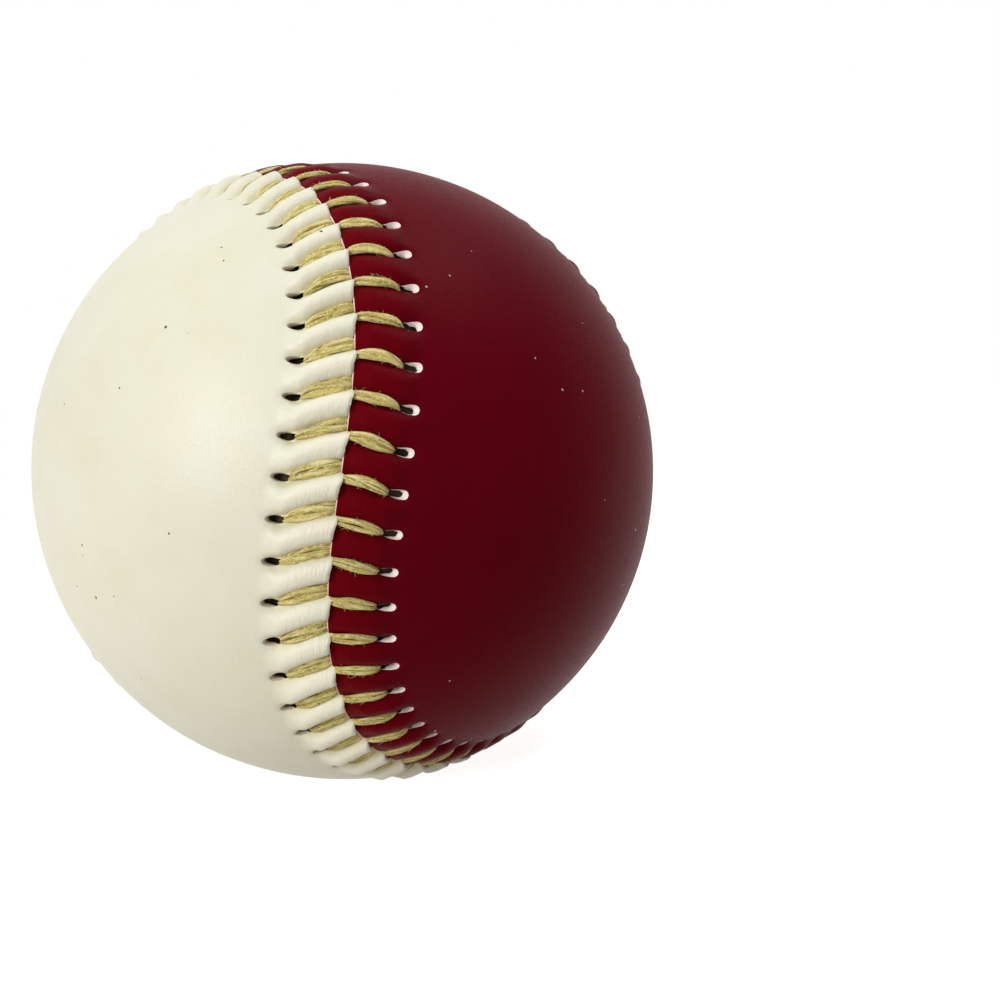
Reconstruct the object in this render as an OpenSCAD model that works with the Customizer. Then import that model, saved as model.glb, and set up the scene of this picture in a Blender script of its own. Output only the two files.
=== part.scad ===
// Stitched ball: a cushioned cork centre, four yarn windings, and a cover of two
// leather panels laced together edge to edge with one waxed thread.
// The ball is centred on the origin. The seam's symmetry axis is Z.

/* [Centre] */
// Diameter of the cork ball
cork_d = 20.6; // [18:0.1:23]
// Wall of the two black rubber half shells round the cork
shell_wall = 4.0; // [3:0.1:5]
// Thickness of the rubber washer between the two half shells
washer_t = 0.8; // [0.4:0.1:1.6]
// Wall of the red rubber jacket that closes the centre
jacket_wall = 2.4; // [1.8:0.1:3.2]

/* [Windings] */
// Thickness of the first winding, of four-ply grey wool
first_winding_t = 14.6; // [12:0.1:16]
// Thickness of the second winding, of three-ply white wool
second_winding_t = 1.8; // [1:0.1:3]
// Thickness of the third winding, of three-ply grey wool
third_winding_t = 2.3; // [1.5:0.1:3.5]
// Thickness of the finishing winding, of fine white yarn
finish_winding_t = 0.5; // [0.3:0.1:1]

/* [Cover] */
// Thickness of the leather
leather_t = 1.3; // [1.2:0.05:1.6]
// Number of double stitches round the seam
stitch_count = 108; // [92:4:116]
// Place of the first stitch, as a share of the way to the next
first_stitch_share = 0.14; // [0:0.01:1]
// How far the seam swings to and fro, as a share of the ball
seam_swing_share = 0.344; // [0.3:0.002:0.38]
// How much the seam's two ends fill out, as a share of the ball
seam_shoulder_share = -0.033; // [-0.04:0.001:0]
// How much the seam flattens near its crests, as a share of the ball
seam_crest_share = -0.038; // [-0.045:0.001:0]

/* [Holes] */
// Distance from the seam to the middle of a hole
hole_reach = 5.4; // [5:0.1:6]
// Length of a hole, across the seam
hole_len = 2.2; // [1.8:0.1:2.6]
// Width of a hole, along the seam
hole_w = 1.1; // [1:0.05:1.3]

/* [Lips] */
// How far the white leather stands up between two stitches at the seam
white_lip_rise = 0.75; // [0.3:0.05:0.9]
// How far the dark red leather stands up between two stitches at the seam
red_lip_rise = 0.5; // [0.3:0.05:0.9]
// Radius of a lip's puckered crown at the seam
lip_crown_r = 1.85; // [1.5:0.05:1.85]
// Radius of a lip's puckered crown where it fades into the cover
lip_fade_r = 1.25; // [1:0.05:1.4]
// Depth of a lip's crown below the cover's surface where it has faded
lip_fade_depth = 0.25; // [0.15:0.05:0.4]

/* [Thread] */
// Width of the flat thread in the middle of a stitch
thread_w = 1.35; // [1:0.05:1.5]
// Width of the thread where it is drawn together, in a hole and in the seam
thread_neck_w = 0.85; // [0.7:0.05:0.9]
// Thickness of the flat thread
thread_t = 0.6; // [0.4:0.05:0.65]
// Space between the thread and the leather or yarn that it lies on
thread_ease = 0.08; // [0.06:0.01:0.12]
// How far a white stitch leans along the seam, as a share of a stitch
white_lean_share = 0.48; // [0.44:0.01:0.52]
// How far a dark red stitch leans along the seam, as a share of a stitch
red_lean_share = 0.19; // [0.15:0.01:0.22]

/* [Hidden] */
$fn = 120;

// Radii of the layers, from the inside out
cork_r = cork_d / 2;
shell_r = cork_r + shell_wall;
jacket_r = shell_r + jacket_wall;
first_r = jacket_r + first_winding_t;
second_r = first_r + second_winding_t;
third_r = second_r + third_winding_t;
wound_r = third_r + finish_winding_t;
ball_r = wound_r + leather_t;

// Overrun of every cut past the face that it opens
overrun = 0.4;
// Faces round a small rounded piece
lip_fn = 32;
hole_fn = 24;

// The seam is sampled at even turns, and its length is summed once, so that a
// station, counted in stitches, can be found at any place along it.
seam_samples = 540;
full_turn = 360;
quarter_turn = 90;

function unit(v) = v / norm(v);
function clamped_acos(c) = acos(min(1, max(-1, c)));

// Direction from the centre to the seam at turn t
function seam_dir(t) =
    let (near = 1 - seam_swing_share, far = seam_swing_share)
    unit([near * cos(t) + far * cos(3 * t) + seam_shoulder_share * cos(5 * t),
          near * sin(t) - far * sin(3 * t) + seam_shoulder_share * sin(5 * t),
          2 * sqrt(near * far) * sin(2 * t) + seam_crest_share * sin(6 * t)]);

seam_dirs = [for (i = [0 : seam_samples]) seam_dir(i * full_turn / seam_samples)];
seam_steps = [for (i = [0 : seam_samples - 1])
    clamped_acos(seam_dirs[i] * seam_dirs[i + 1])];
seam_sums = [for (i = 0, sum = 0; i <= seam_samples;
    sum = sum + (i < seam_samples ? seam_steps[i] : 0), i = i + 1) sum];
seam_sweep = seam_sums[seam_samples];
seam_table = [for (i = [0 : seam_samples])
    [seam_sums[i] / seam_sweep, i * full_turn / seam_samples]];
stitch_pitch = ball_r * seam_sweep * PI / 180 / stitch_count;

// Turn of the seam at a station, counted in stitches from the first one
function station_turn(k) =
    let (share = (k + first_stitch_share) / stitch_count, whole = floor(share))
    full_turn * whole + lookup(share - whole, seam_table);

// Unit vectors at a station: outward, along the seam, and across to the white side
aim_step = 0.01;
function out_at(k) = seam_dir(station_turn(k));
function along_at(k) = unit(out_at(k + aim_step) - out_at(k - aim_step));
function across_at(k) = unit(cross(along_at(k), out_at(k)));

// Angle at the centre for a distance on the cover's surface
function arc_angle(reach) = reach / ball_r * 180 / PI;
// Direction to the place that lies at station k, reach to one side of the seam
function dir_at(k, reach) =
    cos(arc_angle(reach)) * out_at(k) + sin(arc_angle(reach)) * across_at(k);
function place(k, reach, r) = r * dir_at(k, reach);

// Half of the space that a drawn-in thread takes in the seam, across and along
neck_half = thread_neck_w / 2;
notch_depth = thread_t / 2 + 2 * thread_ease;
notch_ease_share = (neck_half + 2 * thread_ease) / stitch_pitch;
notch_ramp_share = 0.06;
half_share = 0.5;
notch_far = white_lean_share + notch_ease_share;
notch_near = red_lean_share - notch_ease_share;

// Thread levels: on the leather, and in the space under the lifted leather
over_r = ball_r + thread_t / 2 + thread_ease;
under_r = wound_r + thread_t / 2 + 1.5 * thread_ease;
lift_r = under_r + thread_t / 2 + 1.5 * thread_ease;
hole_post = hole_reach - hole_len / 2 + thread_t / 2 + thread_ease;
lift_reach = hole_reach + hole_len / 2 + overrun;

// A lip starts behind the holes, and leans so that it meets the seam midway
// between two notches
lip_reach = hole_reach + hole_w;
lip_lean_share = (white_lean_share + red_lean_share) / 2;

// The thread's two tucked ends, as shares of the way to the first hole
start_tuck_share = 0.7;
end_tuck_share = 0.35;

module layer(inner_r, outer_r) {
    difference() {
        sphere(r = outer_r);
        sphere(r = inner_r);
    }
}

module cork_core() {
    color("#c79a62") sphere(r = cork_r);
}

// Half of the rubber shell; it stops half a washer short of the middle plane
module half_shell() {
    difference() {
        layer(cork_r, shell_r);
        translate([0, 0, washer_t / 2 - shell_r - overrun])
            cube([2 * (shell_r + overrun), 2 * (shell_r + overrun), 2 * (shell_r + overrun)],
                 center = true);
    }
}

module inner_shell_upper() {
    color("#232323") half_shell();
}

module inner_shell_lower() {
    color("#232323") rotate([180, 0, 0]) half_shell();
}

module sealing_washer() {
    color("#b3202a")
    intersection() {
        layer(cork_r, shell_r);
        cylinder(r = shell_r + overrun, h = washer_t, center = true);
    }
}

module rubber_jacket() {
    color("#a3222b") layer(shell_r, jacket_r);
}

module first_winding() {
    color("#8f8d88") layer(jacket_r, first_r);
}

module second_winding() {
    color("#eeeae0") layer(first_r, second_r);
}

module third_winding() {
    color("#8f8d88") layer(second_r, third_r);
}

module finish_winding() {
    color("#f4f1e8") layer(third_r, wound_r);
}

// Solid cone from the centre over all that lies on the white side of a closed line
// on the ball. The line's points are paired across the white panel, so that flat
// strips close the cone well outside the ball. One lobe ends an eighth of the way
// round the seam.
cone_reach = 2 * ball_r;
lobe_station = round(stitch_count / 8);
module panel_cone(line) {
    n = len(line);
    half = n / 2;
    tip = lobe_station * n / stitch_count;
    function at(i) = 1 + (i + 2 * n) % n;
    walls = [for (i = [0 : n - 1]) [0, at(i + 1), at(i)]];
    lobe_end = [[at(tip + 1), at(tip - 1), at(tip)]];
    strips = [for (i = [2 : half - 1])
        each [[at(tip + i), at(tip - i), at(tip - i + 1)],
              [at(tip + i), at(tip - i + 1), at(tip + i - 1)]]];
    far_end = [[at(tip + half), at(tip - half + 1), at(tip + half - 1)]];
    polyhedron(points = concat([[0, 0, 0]], [for (p = line) cone_reach * p]),
               faces = concat(walls, lobe_end, strips, far_end));
}

// Cut edge of a panel: it butts on the other panel, with a notch for the thread
// at each stitch
edge_marks = [[-notch_far, 0], [notch_ramp_share - notch_far, 1],
              [-notch_near - notch_ramp_share, 1], [-notch_near, 0]];
edge_line = [for (i = [0 : stitch_count - 1], m = edge_marks)
    dir_at(i + m[0], m[1] * notch_depth)];

// Line along which the leather comes down on the winding again
lift_line = [for (i = [0 : stitch_count - 1]) dir_at(i, lift_reach)];

// Round bar from one point to another, with a radius at each end
module bar(from, to, from_r, to_r) {
    way = to - from;
    translate(from)
        rotate([0, acos(way.z / norm(way)), atan2(way.y, way.x)])
            cylinder(r1 = from_r, r2 = to_r, h = norm(way), $fn = lip_fn);
}

// Puckered crown of the leather between stitch i and the one before it
module lip_crown(i, rise) {
    bar(place(i - half_share, lip_reach, ball_r - lip_fade_depth - lip_fade_r),
        place(i - half_share - lip_lean_share, -overrun, ball_r + rise - lip_crown_r),
        lip_fade_r, lip_crown_r);
}

// Punched hole of stitch i, longer across the seam than along it
module stitch_hole(i) {
    up = dir_at(i, hole_reach);
    along = along_at(i);
    across = cross(along, up);
    straight = hole_len - hole_w;
    multmatrix([[across.x, along.x, up.x, 0],
                [across.y, along.y, up.y, 0],
                [across.z, along.z, up.z, 0]])
        translate([0, 0, wound_r - overrun])
            linear_extrude(height = leather_t + 2 * overrun) {
                for (end = [-half_share, half_share])
                    translate([end * straight, 0])
                        circle(d = hole_w, $fn = hole_fn);
                square([straight, hole_w], center = true);
            }
}

// One cover panel, in the white one's place
module panel(rise) {
    difference() {
        intersection() {
            union() {
                sphere(r = ball_r);
                for (i = [0 : stitch_count - 1])
                    lip_crown(i, rise);
            }
            panel_cone(edge_line);
        }
        sphere(r = wound_r);
        // Space under the lifted leather, in which the thread crosses to the next hole
        difference() {
            sphere(r = lift_r);
            panel_cone(lift_line);
        }
        for (i = [0 : stitch_count - 1])
            stitch_hole(i);
    }
}

module white_panel() {
    color("#efece0") panel(white_lip_rise);
}

// The seam is its own image when it is turned a quarter round Z and mirrored in Z,
// which swaps the two panels, a quarter of the stitches further on
module red_panel() {
    color("#6e0d1c") rotate([0, 0, quarter_turn]) mirror([0, 0, 1]) panel(red_lip_rise);
}

// Rings of one half stitch, as place, width and station: up through the hole at
// station k, over the leather to the seam, and down between the panels
function lean_share(side) = side > 0 ? white_lean_share : red_lean_share;
function half_stitch(k, side) =
    let (lean = lean_share(side), reach = side * hole_post)
    [[place(k, reach, under_r), thread_neck_w, k],
     [place(k, reach, over_r), thread_neck_w, k],
     [place(k - lean / 2, reach / 2, over_r), thread_w, k - lean / 2],
     [place(k - lean, 0, over_r), thread_neck_w, k - lean],
     [place(k - lean, 0, under_r), thread_neck_w, k - lean]];

// End of the thread, tucked in under the leather on the way to hole k on one side
function tuck(k, side, share) =
    let (from = k + 1 - lean_share(-side), at_k = from + share * (k - from))
    [place(at_k, share * side * hole_post, under_r), thread_neck_w, at_k];

// One needle's way round the ball: it sews a hole on one side, then the next one
// on the other side, until it is back where it began
function needle_way(side) = concat(
    [tuck(0, side, start_tuck_share)],
    [for (j = [0 : stitch_count - 1], ring = half_stitch(-j, j % 2 == 0 ? side : -side)) ring],
    [tuck(-stitch_count, side, end_tuck_share)]);

thread_sides = 5;
module thread_along(way) {
    n = len(way);
    function step(i) = unit(way[i + 1][0] - way[i][0]);
    function heading(i) =
        i == 0 ? step(0) : i == n - 1 ? step(n - 2) : unit(step(i - 1) + step(i));
    function ring(i) =
        let (go = heading(i),
             hint = along_at(way[i][2]),
             wide = unit(hint - (hint * go) * go),
             flat = cross(go, wide) / (go * step(min(i, n - 2))))
        [for (j = [0 : thread_sides - 1])
            let (turn = j * full_turn / thread_sides)
            way[i][0] + cos(turn) * way[i][1] / 2 * wide + sin(turn) * thread_t / 2 * flat];
    function at(i, j) = i * thread_sides + j % thread_sides;
    skin = [for (i = [0 : n - 2], j = [0 : thread_sides - 1])
        each [[at(i, j), at(i + 1, j), at(i + 1, j + 1)],
              [at(i, j), at(i + 1, j + 1), at(i, j + 1)]]];
    first_end = [[for (j = [0 : thread_sides - 1]) at(0, j)]];
    last_end = [[for (j = [thread_sides - 1 : -1 : 0]) at(n - 1, j)]];
    polyhedron(points = [for (i = [0 : n - 1]) each ring(i)],
               faces = concat(skin, first_end, last_end));
}

module seam_thread_a() {
    color("#b9a468") thread_along(needle_way(1));
}

module seam_thread_b() {
    color("#b9a468") thread_along(needle_way(-1));
}

cork_core();
inner_shell_upper();
inner_shell_lower();
sealing_washer();
rubber_jacket();
first_winding();
second_winding();
third_winding();
finish_winding();
white_panel();
red_panel();
seam_thread_a();
seam_thread_b();
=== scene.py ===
"""A baseball: a cork and rubber core, four yarn windings and two leather panels laced together.

Sizes are in millimetres in the frame of the CAD model, whose origin is the middle of the ball,
and become metres when a mesh is made. A station counts stitches along the seam, and a reach is
the distance from the seam over the ball, above zero on the white panel and below it on the red.
"""

import logging
import math
from dataclasses import dataclass, field
from enum import Enum

import bmesh
import bpy
import numpy as np
from mathutils import Matrix, Vector
from mathutils.geometry import delaunay_2d_cdt


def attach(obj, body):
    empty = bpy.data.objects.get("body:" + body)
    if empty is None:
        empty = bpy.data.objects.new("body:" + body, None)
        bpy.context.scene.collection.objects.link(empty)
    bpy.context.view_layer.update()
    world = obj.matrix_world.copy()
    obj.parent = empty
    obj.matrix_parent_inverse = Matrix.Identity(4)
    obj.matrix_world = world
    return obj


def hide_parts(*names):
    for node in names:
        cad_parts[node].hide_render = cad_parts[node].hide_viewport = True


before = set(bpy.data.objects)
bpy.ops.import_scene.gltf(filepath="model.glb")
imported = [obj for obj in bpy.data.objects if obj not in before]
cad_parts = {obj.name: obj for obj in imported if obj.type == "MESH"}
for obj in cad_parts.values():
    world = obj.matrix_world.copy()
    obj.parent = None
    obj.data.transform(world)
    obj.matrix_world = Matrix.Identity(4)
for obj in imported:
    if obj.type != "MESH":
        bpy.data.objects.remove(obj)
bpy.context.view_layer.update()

LOG = logging.getLogger("baseball")
MILLIMETRE = 0.001
BODY = "root"
LACE_MARKS = "lace"
FIBRE_MARKS = "fibre"
WHITE = (1.0, 1.0, 1.0, 1.0)
# Reaches at which a stitch's lean and the arch of its middle end.
LEAN_END = 4.9
ARCH_END = 4.7
# Space between the rows of an even net of triangles, for sides of one.
TRIANGLE_HEIGHT = 0.866
# Distances that count as none, in a division and in the filling of a ring.
TINY = 1e-9
SAME_PLACE = 1e-7

Colour = tuple[float, float, float, float]
Triple = tuple[float, float, float]
Pair = tuple[float, float]


class PanelSide(Enum):
    """The panel that something belongs to. The value is the sign of a reach on that panel."""

    WHITE = 1
    RED = -1

    @property
    def facing(self) -> "PanelSide":
        """The side across the seam."""
        return PanelSide(-self.value)


def ease(values: np.ndarray, start: float, end: float) -> np.ndarray:
    """Returns shares that rise smoothly from 0 at start to 1 at end, which may be the lower."""
    share = np.clip((values - start) / (end - start), 0.0, 1.0)
    return share * share * (3.0 - 2.0 * share)


def unit(vectors: np.ndarray) -> np.ndarray:
    """Returns vectors of length one in the same directions."""
    return vectors / np.linalg.norm(vectors, axis=-1, keepdims=True)


def lean_left(reaches: np.ndarray) -> np.ndarray:
    """Returns how much of a stitch's lean is left at distances from the seam, from 1 to 0."""
    share = np.clip(reaches / LEAN_END, 0.0, 1.0)
    return 0.5 * np.cos(0.5 * math.pi * share) + 0.5 * (1.0 - share)


@dataclass(frozen=True)
class SeamLine:
    """The closed curve round the ball on which the two panels meet.

    Attributes:
        ball_radius: Radius of the leather where it lies smooth.
        stitch_count: Double stitches round the whole seam.
        first_stitch_share: Where the first stitch stands, as a share of a stitch.
        swing_share: How far the curve swings from the ball's waist.
        shoulder_share: Fullness of the curve at its shoulders.
        crest_share: Fullness of the curve at its crests.
        drifts: Middle station, half width in stations and size of each place where the leather was
            pulled a little to one side, towards the white panel above zero.
        samples: Steps in which the curve's length is measured.
        probe: Stations to each side between which the seam's direction is taken.
    """

    ball_radius: float = 37.2
    stitch_count: int = 108
    first_stitch_share: float = 0.14
    swing_share: float = 0.344
    shoulder_share: float = -0.033
    crest_share: float = -0.038
    drifts: tuple[Triple, ...] = ((7.0, 16.0, 3.2), (49.0, 16.0, -3.2), (102.0, 8.0, 2.2))
    samples: int = 4320
    probe: float = 0.01

    def directions(self, turns: np.ndarray) -> np.ndarray:
        """Returns unit vectors from the ball's middle to the curve.

        Args:
            turns: Values of the curve's own angle in radians.

        Returns:
            An array with one vector in its last axis for each turn.
        """
        far = self.swing_share
        near = 1.0 - far
        x = near * np.cos(turns) + far * np.cos(3 * turns) + self.shoulder_share * np.cos(5 * turns)
        y = near * np.sin(turns) - far * np.sin(3 * turns) + self.shoulder_share * np.sin(5 * turns)
        z = 2 * math.sqrt(near * far) * np.sin(2 * turns) + self.crest_share * np.sin(6 * turns)
        return unit(np.stack([x, y, z], axis=-1))

    def _length_table(self) -> tuple[np.ndarray, np.ndarray]:
        """Measures the even curve.

        Returns:
            Turns and the arc length in radians that each has behind it.
        """
        turns = np.linspace(0.0, 2.0 * math.pi, self.samples + 1)
        points = self.directions(turns)
        steps = np.arccos(np.clip(np.sum(points[1:] * points[:-1], axis=-1), -1.0, 1.0))
        return turns, np.concatenate([[0.0], np.cumsum(steps)])

    @property
    def pitch(self) -> float:
        """Distance from one stitch to the next along the seam."""
        return float(self._length_table()[1][-1]) * self.ball_radius / self.stitch_count

    def _even_outward(self, stations: np.ndarray) -> np.ndarray:
        """Returns the directions of stations on the even curve.

        Args:
            stations: Stations on the seam.

        Returns:
            An array of unit vectors.
        """
        turns, lengths = self._length_table()
        share = (stations + self.first_stitch_share) / self.stitch_count
        whole = np.floor(share)
        return self.directions(np.interp((share - whole) * lengths[-1], lengths, turns))

    def outward(self, stations: np.ndarray) -> np.ndarray:
        """Returns the directions of stations on the seam, seen from the ball's middle.

        Args:
            stations: Stations on the seam.

        Returns:
            An array of unit vectors.
        """
        stations = np.asarray(stations, float)
        even = self._even_outward(stations)
        along = self._even_outward(stations + self.probe) - self._even_outward(stations - self.probe)
        across = unit(np.cross(along, even))
        drift = np.zeros(stations.shape)
        half = 0.5 * self.stitch_count
        for middle, half_width, size in self.drifts:
            gap = np.abs(np.mod(stations - middle + half, self.stitch_count) - half)
            drift += size * ease(gap, half_width, 0.0)
        angle = (drift / self.ball_radius)[..., None]
        return np.cos(angle) * even + np.sin(angle) * across

    def headings(self, stations: np.ndarray) -> tuple[np.ndarray, np.ndarray, np.ndarray]:
        """Returns the directions outward, along the seam and across it to the white side.

        Args:
            stations: Stations on the seam.

        Returns:
            Three arrays of unit vectors.
        """
        stations = np.asarray(stations)
        out = self.outward(stations)
        along = unit(self.outward(stations + self.probe) - self.outward(stations - self.probe))
        return out, along, unit(np.cross(along, out))

    def aims(self, stations: np.ndarray, reaches: np.ndarray) -> np.ndarray:
        """Returns unit vectors from the ball's middle to places beside the seam.

        Args:
            stations: Stations on the seam.
            reaches: Signed distances from the seam over the ball.

        Returns:
            An array of unit vectors.
        """
        out, _, across = self.headings(stations)
        angle = (np.asarray(reaches) / self.ball_radius)[..., None]
        return np.cos(angle) * out + np.sin(angle) * across


@dataclass
class MeshSketch:
    """Points, faces and finish numbers of a mesh while it is put together.

    Attributes:
        points: Blocks of points.
        faces: Blocks of faces with the number of their finish.
        marks: Blocks of one vector for each point, which the finishes read.
        size: Points so far.
    """

    points: list[np.ndarray] = field(default_factory=list)
    faces: list[tuple[np.ndarray, int]] = field(default_factory=list)
    marks: list[np.ndarray] = field(default_factory=list)
    size: int = 0

    def add_points(self, points: np.ndarray, marks: np.ndarray) -> np.ndarray:
        """Adds points and returns their numbers in the same layout.

        Args:
            points: Points in the last axis.
            marks: A vector for each point.

        Returns:
            The points' numbers.
        """
        count = points[..., 0].size
        numbers = np.arange(self.size, self.size + count).reshape(points.shape[:-1])
        self.points.append(points.reshape(-1, 3))
        self.marks.append(marks.reshape(-1, 3))
        self.size += count
        return numbers

    def add_faces(self, corners: np.ndarray, finish: int = 0) -> None:
        """Adds faces of one finish, given as rows of point numbers."""
        self.faces.append((corners.reshape(-1, corners.shape[-1]), finish))

    def add_strip(self, first: np.ndarray, second: np.ndarray, finish: int = 0) -> None:
        """Joins two closed rings of equally many points with four-sided faces.

        Args:
            first: Numbers of the first ring's points, in the last axis.
            second: Numbers of the second ring's points.
            finish: Number of the finish.
        """
        next_first = np.roll(first, -1, axis=-1)
        next_second = np.roll(second, -1, axis=-1)
        self.add_faces(np.stack([first, next_first, next_second, second], axis=-1), finish)

    def add_wall(self, rings: list[np.ndarray], finish: int) -> None:
        """Joins each ring of a list to the next with four-sided faces."""
        for first, second in zip(rings[:-1], rings[1:]):
            self.add_strip(first, second, finish)

    def add_halving_strip(self, fine: np.ndarray, coarse: np.ndarray, finish: int = 0) -> None:
        """Joins a closed ring to one with half as many points, with three triangles to a step.

        Args:
            fine: Numbers of the fine ring's points.
            coarse: Numbers of the coarse ring's points.
            finish: Number of the finish.
        """
        start, middle, end = fine[0::2], fine[1::2], np.roll(fine[0::2], -1)
        after = np.roll(coarse, -1)
        for corners in ((start, middle, coarse), (middle, end, after), (middle, after, coarse)):
            self.add_faces(np.stack(corners, axis=-1), finish)

    def make(self, name: str, finishes: list[bpy.types.Material], mark_name: str,
             crease: float) -> bpy.types.Object:
        """Makes the object, with its faces turned outward.

        Args:
            name: Name of the object.
            finishes: Materials, in the order of the finish numbers.
            mark_name: Name under which the finishes read the marks.
            crease: Angle in degrees from which an edge is shaded sharp.

        Returns:
            The new object, in metres.
        """
        points = np.concatenate(self.points) * MILLIMETRE
        marks = np.concatenate(self.marks)
        used = np.zeros(self.size, bool)
        for corners, _ in self.faces:
            used[corners.ravel()] = True
        renumber = np.cumsum(used) - 1
        faces: list[list[int]] = []
        numbers: list[int] = []
        for corners, finish in self.faces:
            faces.extend(renumber[corners].tolist())
            numbers.extend([finish] * len(corners))
        mesh = bpy.data.meshes.new(name)
        mesh.from_pydata(points[used].tolist(), [], faces)
        mesh.polygons.foreach_set("material_index", numbers)
        layer = mesh.attributes.new(mark_name, "FLOAT_VECTOR", "POINT")
        layer.data.foreach_set("vector", marks[used].astype(np.float32).ravel())
        shaping = bmesh.new()
        shaping.from_mesh(mesh)
        bmesh.ops.recalc_face_normals(shaping, faces=shaping.faces)
        shaping.to_mesh(mesh)
        shaping.free()
        mesh.shade_smooth()
        mesh.set_sharp_from_angle(angle=math.radians(crease))
        for finish in finishes:
            mesh.materials.append(finish)
        piece = bpy.data.objects.new(name, mesh)
        bpy.context.scene.collection.objects.link(piece)
        return piece


class NodeBench:
    """The node tree of one finish while it is laid out."""

    def __init__(self, name: str) -> None:
        """Starts a material with a surface shader.

        Args:
            name: Name of the material.
        """
        self.material = bpy.data.materials.new(name)
        self.material.use_nodes = True
        self.tree = self.material.node_tree
        self.shader = self.tree.nodes["Principled BSDF"]

    def add(self, kind: str, inputs: dict[str, object] | None = None, **settings: object) -> bpy.types.Node:
        """Adds a node.

        Args:
            kind: Name of the node's type after ShaderNode.
            inputs: Values or outputs for the node's inputs by name.
            **settings: Properties of the node.

        Returns:
            The node.
        """
        node = self.tree.nodes.new("ShaderNode" + kind)
        for name, value in settings.items():
            setattr(node, name, value)
        for name, value in (inputs or {}).items():
            self.feed(node.inputs[name], value)
        return node

    def feed(self, socket: bpy.types.NodeSocket, value: object) -> None:
        """Links an output to a socket, or sets the socket's own value.

        Args:
            socket: The input.
            value: An output, or a number or colour that is the same all over.
        """
        if isinstance(value, bpy.types.NodeSocket):
            self.tree.links.new(value, socket)
        else:
            socket.default_value = value

    def finish(self, looks: dict[str, object]) -> bpy.types.Material:
        """Feeds the surface shader's inputs.

        Args:
            looks: Values or outputs by the name of the input.

        Returns:
            The finished material.
        """
        for name, value in looks.items():
            self.feed(self.shader.inputs[name], value)
        return self.material

    def place(self) -> bpy.types.NodeSocket:
        """Returns the place on the object, in metres."""
        return self.add("TexCoord").outputs["Object"]

    def marks(self, name: str, scale: Triple = (1.0, 1.0, 1.0)) -> bpy.types.NodeSocket:
        """Returns the mesh's marks times a scale for each axis."""
        spot = self.add("Attribute", attribute_name=name).outputs["Vector"]
        return self.add("Mapping", {"Vector": spot, "Scale": scale}).outputs[0]

    def noise(self, spot: bpy.types.NodeSocket, scale: float, detail: float = 3.0, rough: float = 0.55,
              swirl: float = 0.0) -> bpy.types.NodeSocket:
        """Returns noise from 0 to 1, of scale waves to a unit, that bends itself by swirl."""
        inputs = {"Vector": spot, "Scale": scale, "Detail": detail, "Roughness": rough, "Distortion": swirl}
        return self.add("TexNoise", inputs).outputs[0]

    def cells(self, spot: bpy.types.NodeSocket, scale: float) -> tuple[bpy.types.NodeSocket, ...]:
        """Returns the distance from the middle of irregular cells, and each cell's chance colour."""
        outputs = self.add("TexVoronoi", {"Vector": spot, "Scale": scale}).outputs
        return outputs["Distance"], outputs["Color"]

    def first_part(self, colour: bpy.types.NodeSocket) -> bpy.types.NodeSocket:
        """Returns the red part of a colour."""
        return self.add("SeparateColor", {"Color": colour}).outputs[0]

    def parts(self, vector: bpy.types.NodeSocket) -> list[bpy.types.NodeSocket]:
        """Returns the three numbers of a vector."""
        return list(self.add("SeparateXYZ", {"Vector": vector}).outputs)

    def span(self, value: bpy.types.NodeSocket, low: float, high: float, to_low: float = 0.0,
             to_high: float = 1.0) -> bpy.types.NodeSocket:
        """Returns a number mapped from one range to another and held there."""
        inputs = {"Value": value, "From Min": low, "From Max": high, "To Min": to_low, "To Max": to_high}
        return self.add("MapRange", inputs).outputs[0]

    def combine(self, first: object, second: object, operation: str = "MULTIPLY") -> bpy.types.NodeSocket:
        """Combines two numbers.

        Args:
            first: First number or output.
            second: Second number or output.
            operation: Blender's name for the operation.

        Returns:
            Their product, or what another operation gives.
        """
        node = self.add("Math", operation=operation)
        self.feed(node.inputs[0], first)
        self.feed(node.inputs[1], second)
        return node.outputs[0]

    def _between(self, kind: str, slots: tuple[int, int, int], share: object, first: object,
                 second: object) -> bpy.types.NodeSocket:
        """Adds a node that lies between two values.

        Args:
            kind: Blender's name for the kind of value.
            slots: Numbers of the inputs for the two values and of the output.
            share: Share of the second value.
            first: First value or output.
            second: Second value or output.

        Returns:
            The output.
        """
        node = self.add("Mix", data_type=kind)
        for slot, value in zip((0, *slots[:2]), (share, first, second)):
            self.feed(node.inputs[slot], value)
        return node.outputs[slots[2]]

    def blend(self, share: object, first: object, second: object) -> bpy.types.NodeSocket:
        """Returns a colour between two colours, by the share of the second."""
        return self._between("RGBA", (6, 7, 2), share, first, second)

    def shift(self, share: object, first: object, second: object) -> bpy.types.NodeSocket:
        """Returns a number between two numbers, by the share of the second."""
        return self._between("FLOAT", (2, 3, 0), share, first, second)

    def relief(self, height: bpy.types.NodeSocket, depth: float,
               under: bpy.types.NodeSocket | None = None) -> bpy.types.NodeSocket:
        """Makes normals that show a relief.

        Args:
            height: Height from 0 to 1.
            depth: Depth of the relief in millimetres.
            under: Normals of a coarser relief.

        Returns:
            The normals.
        """
        inputs = {"Height": height, "Distance": depth * MILLIMETRE, "Strength": 1.0}
        if under is not None:
            inputs["Normal"] = under
        return self.add("Bump", inputs).outputs[0]


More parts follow.
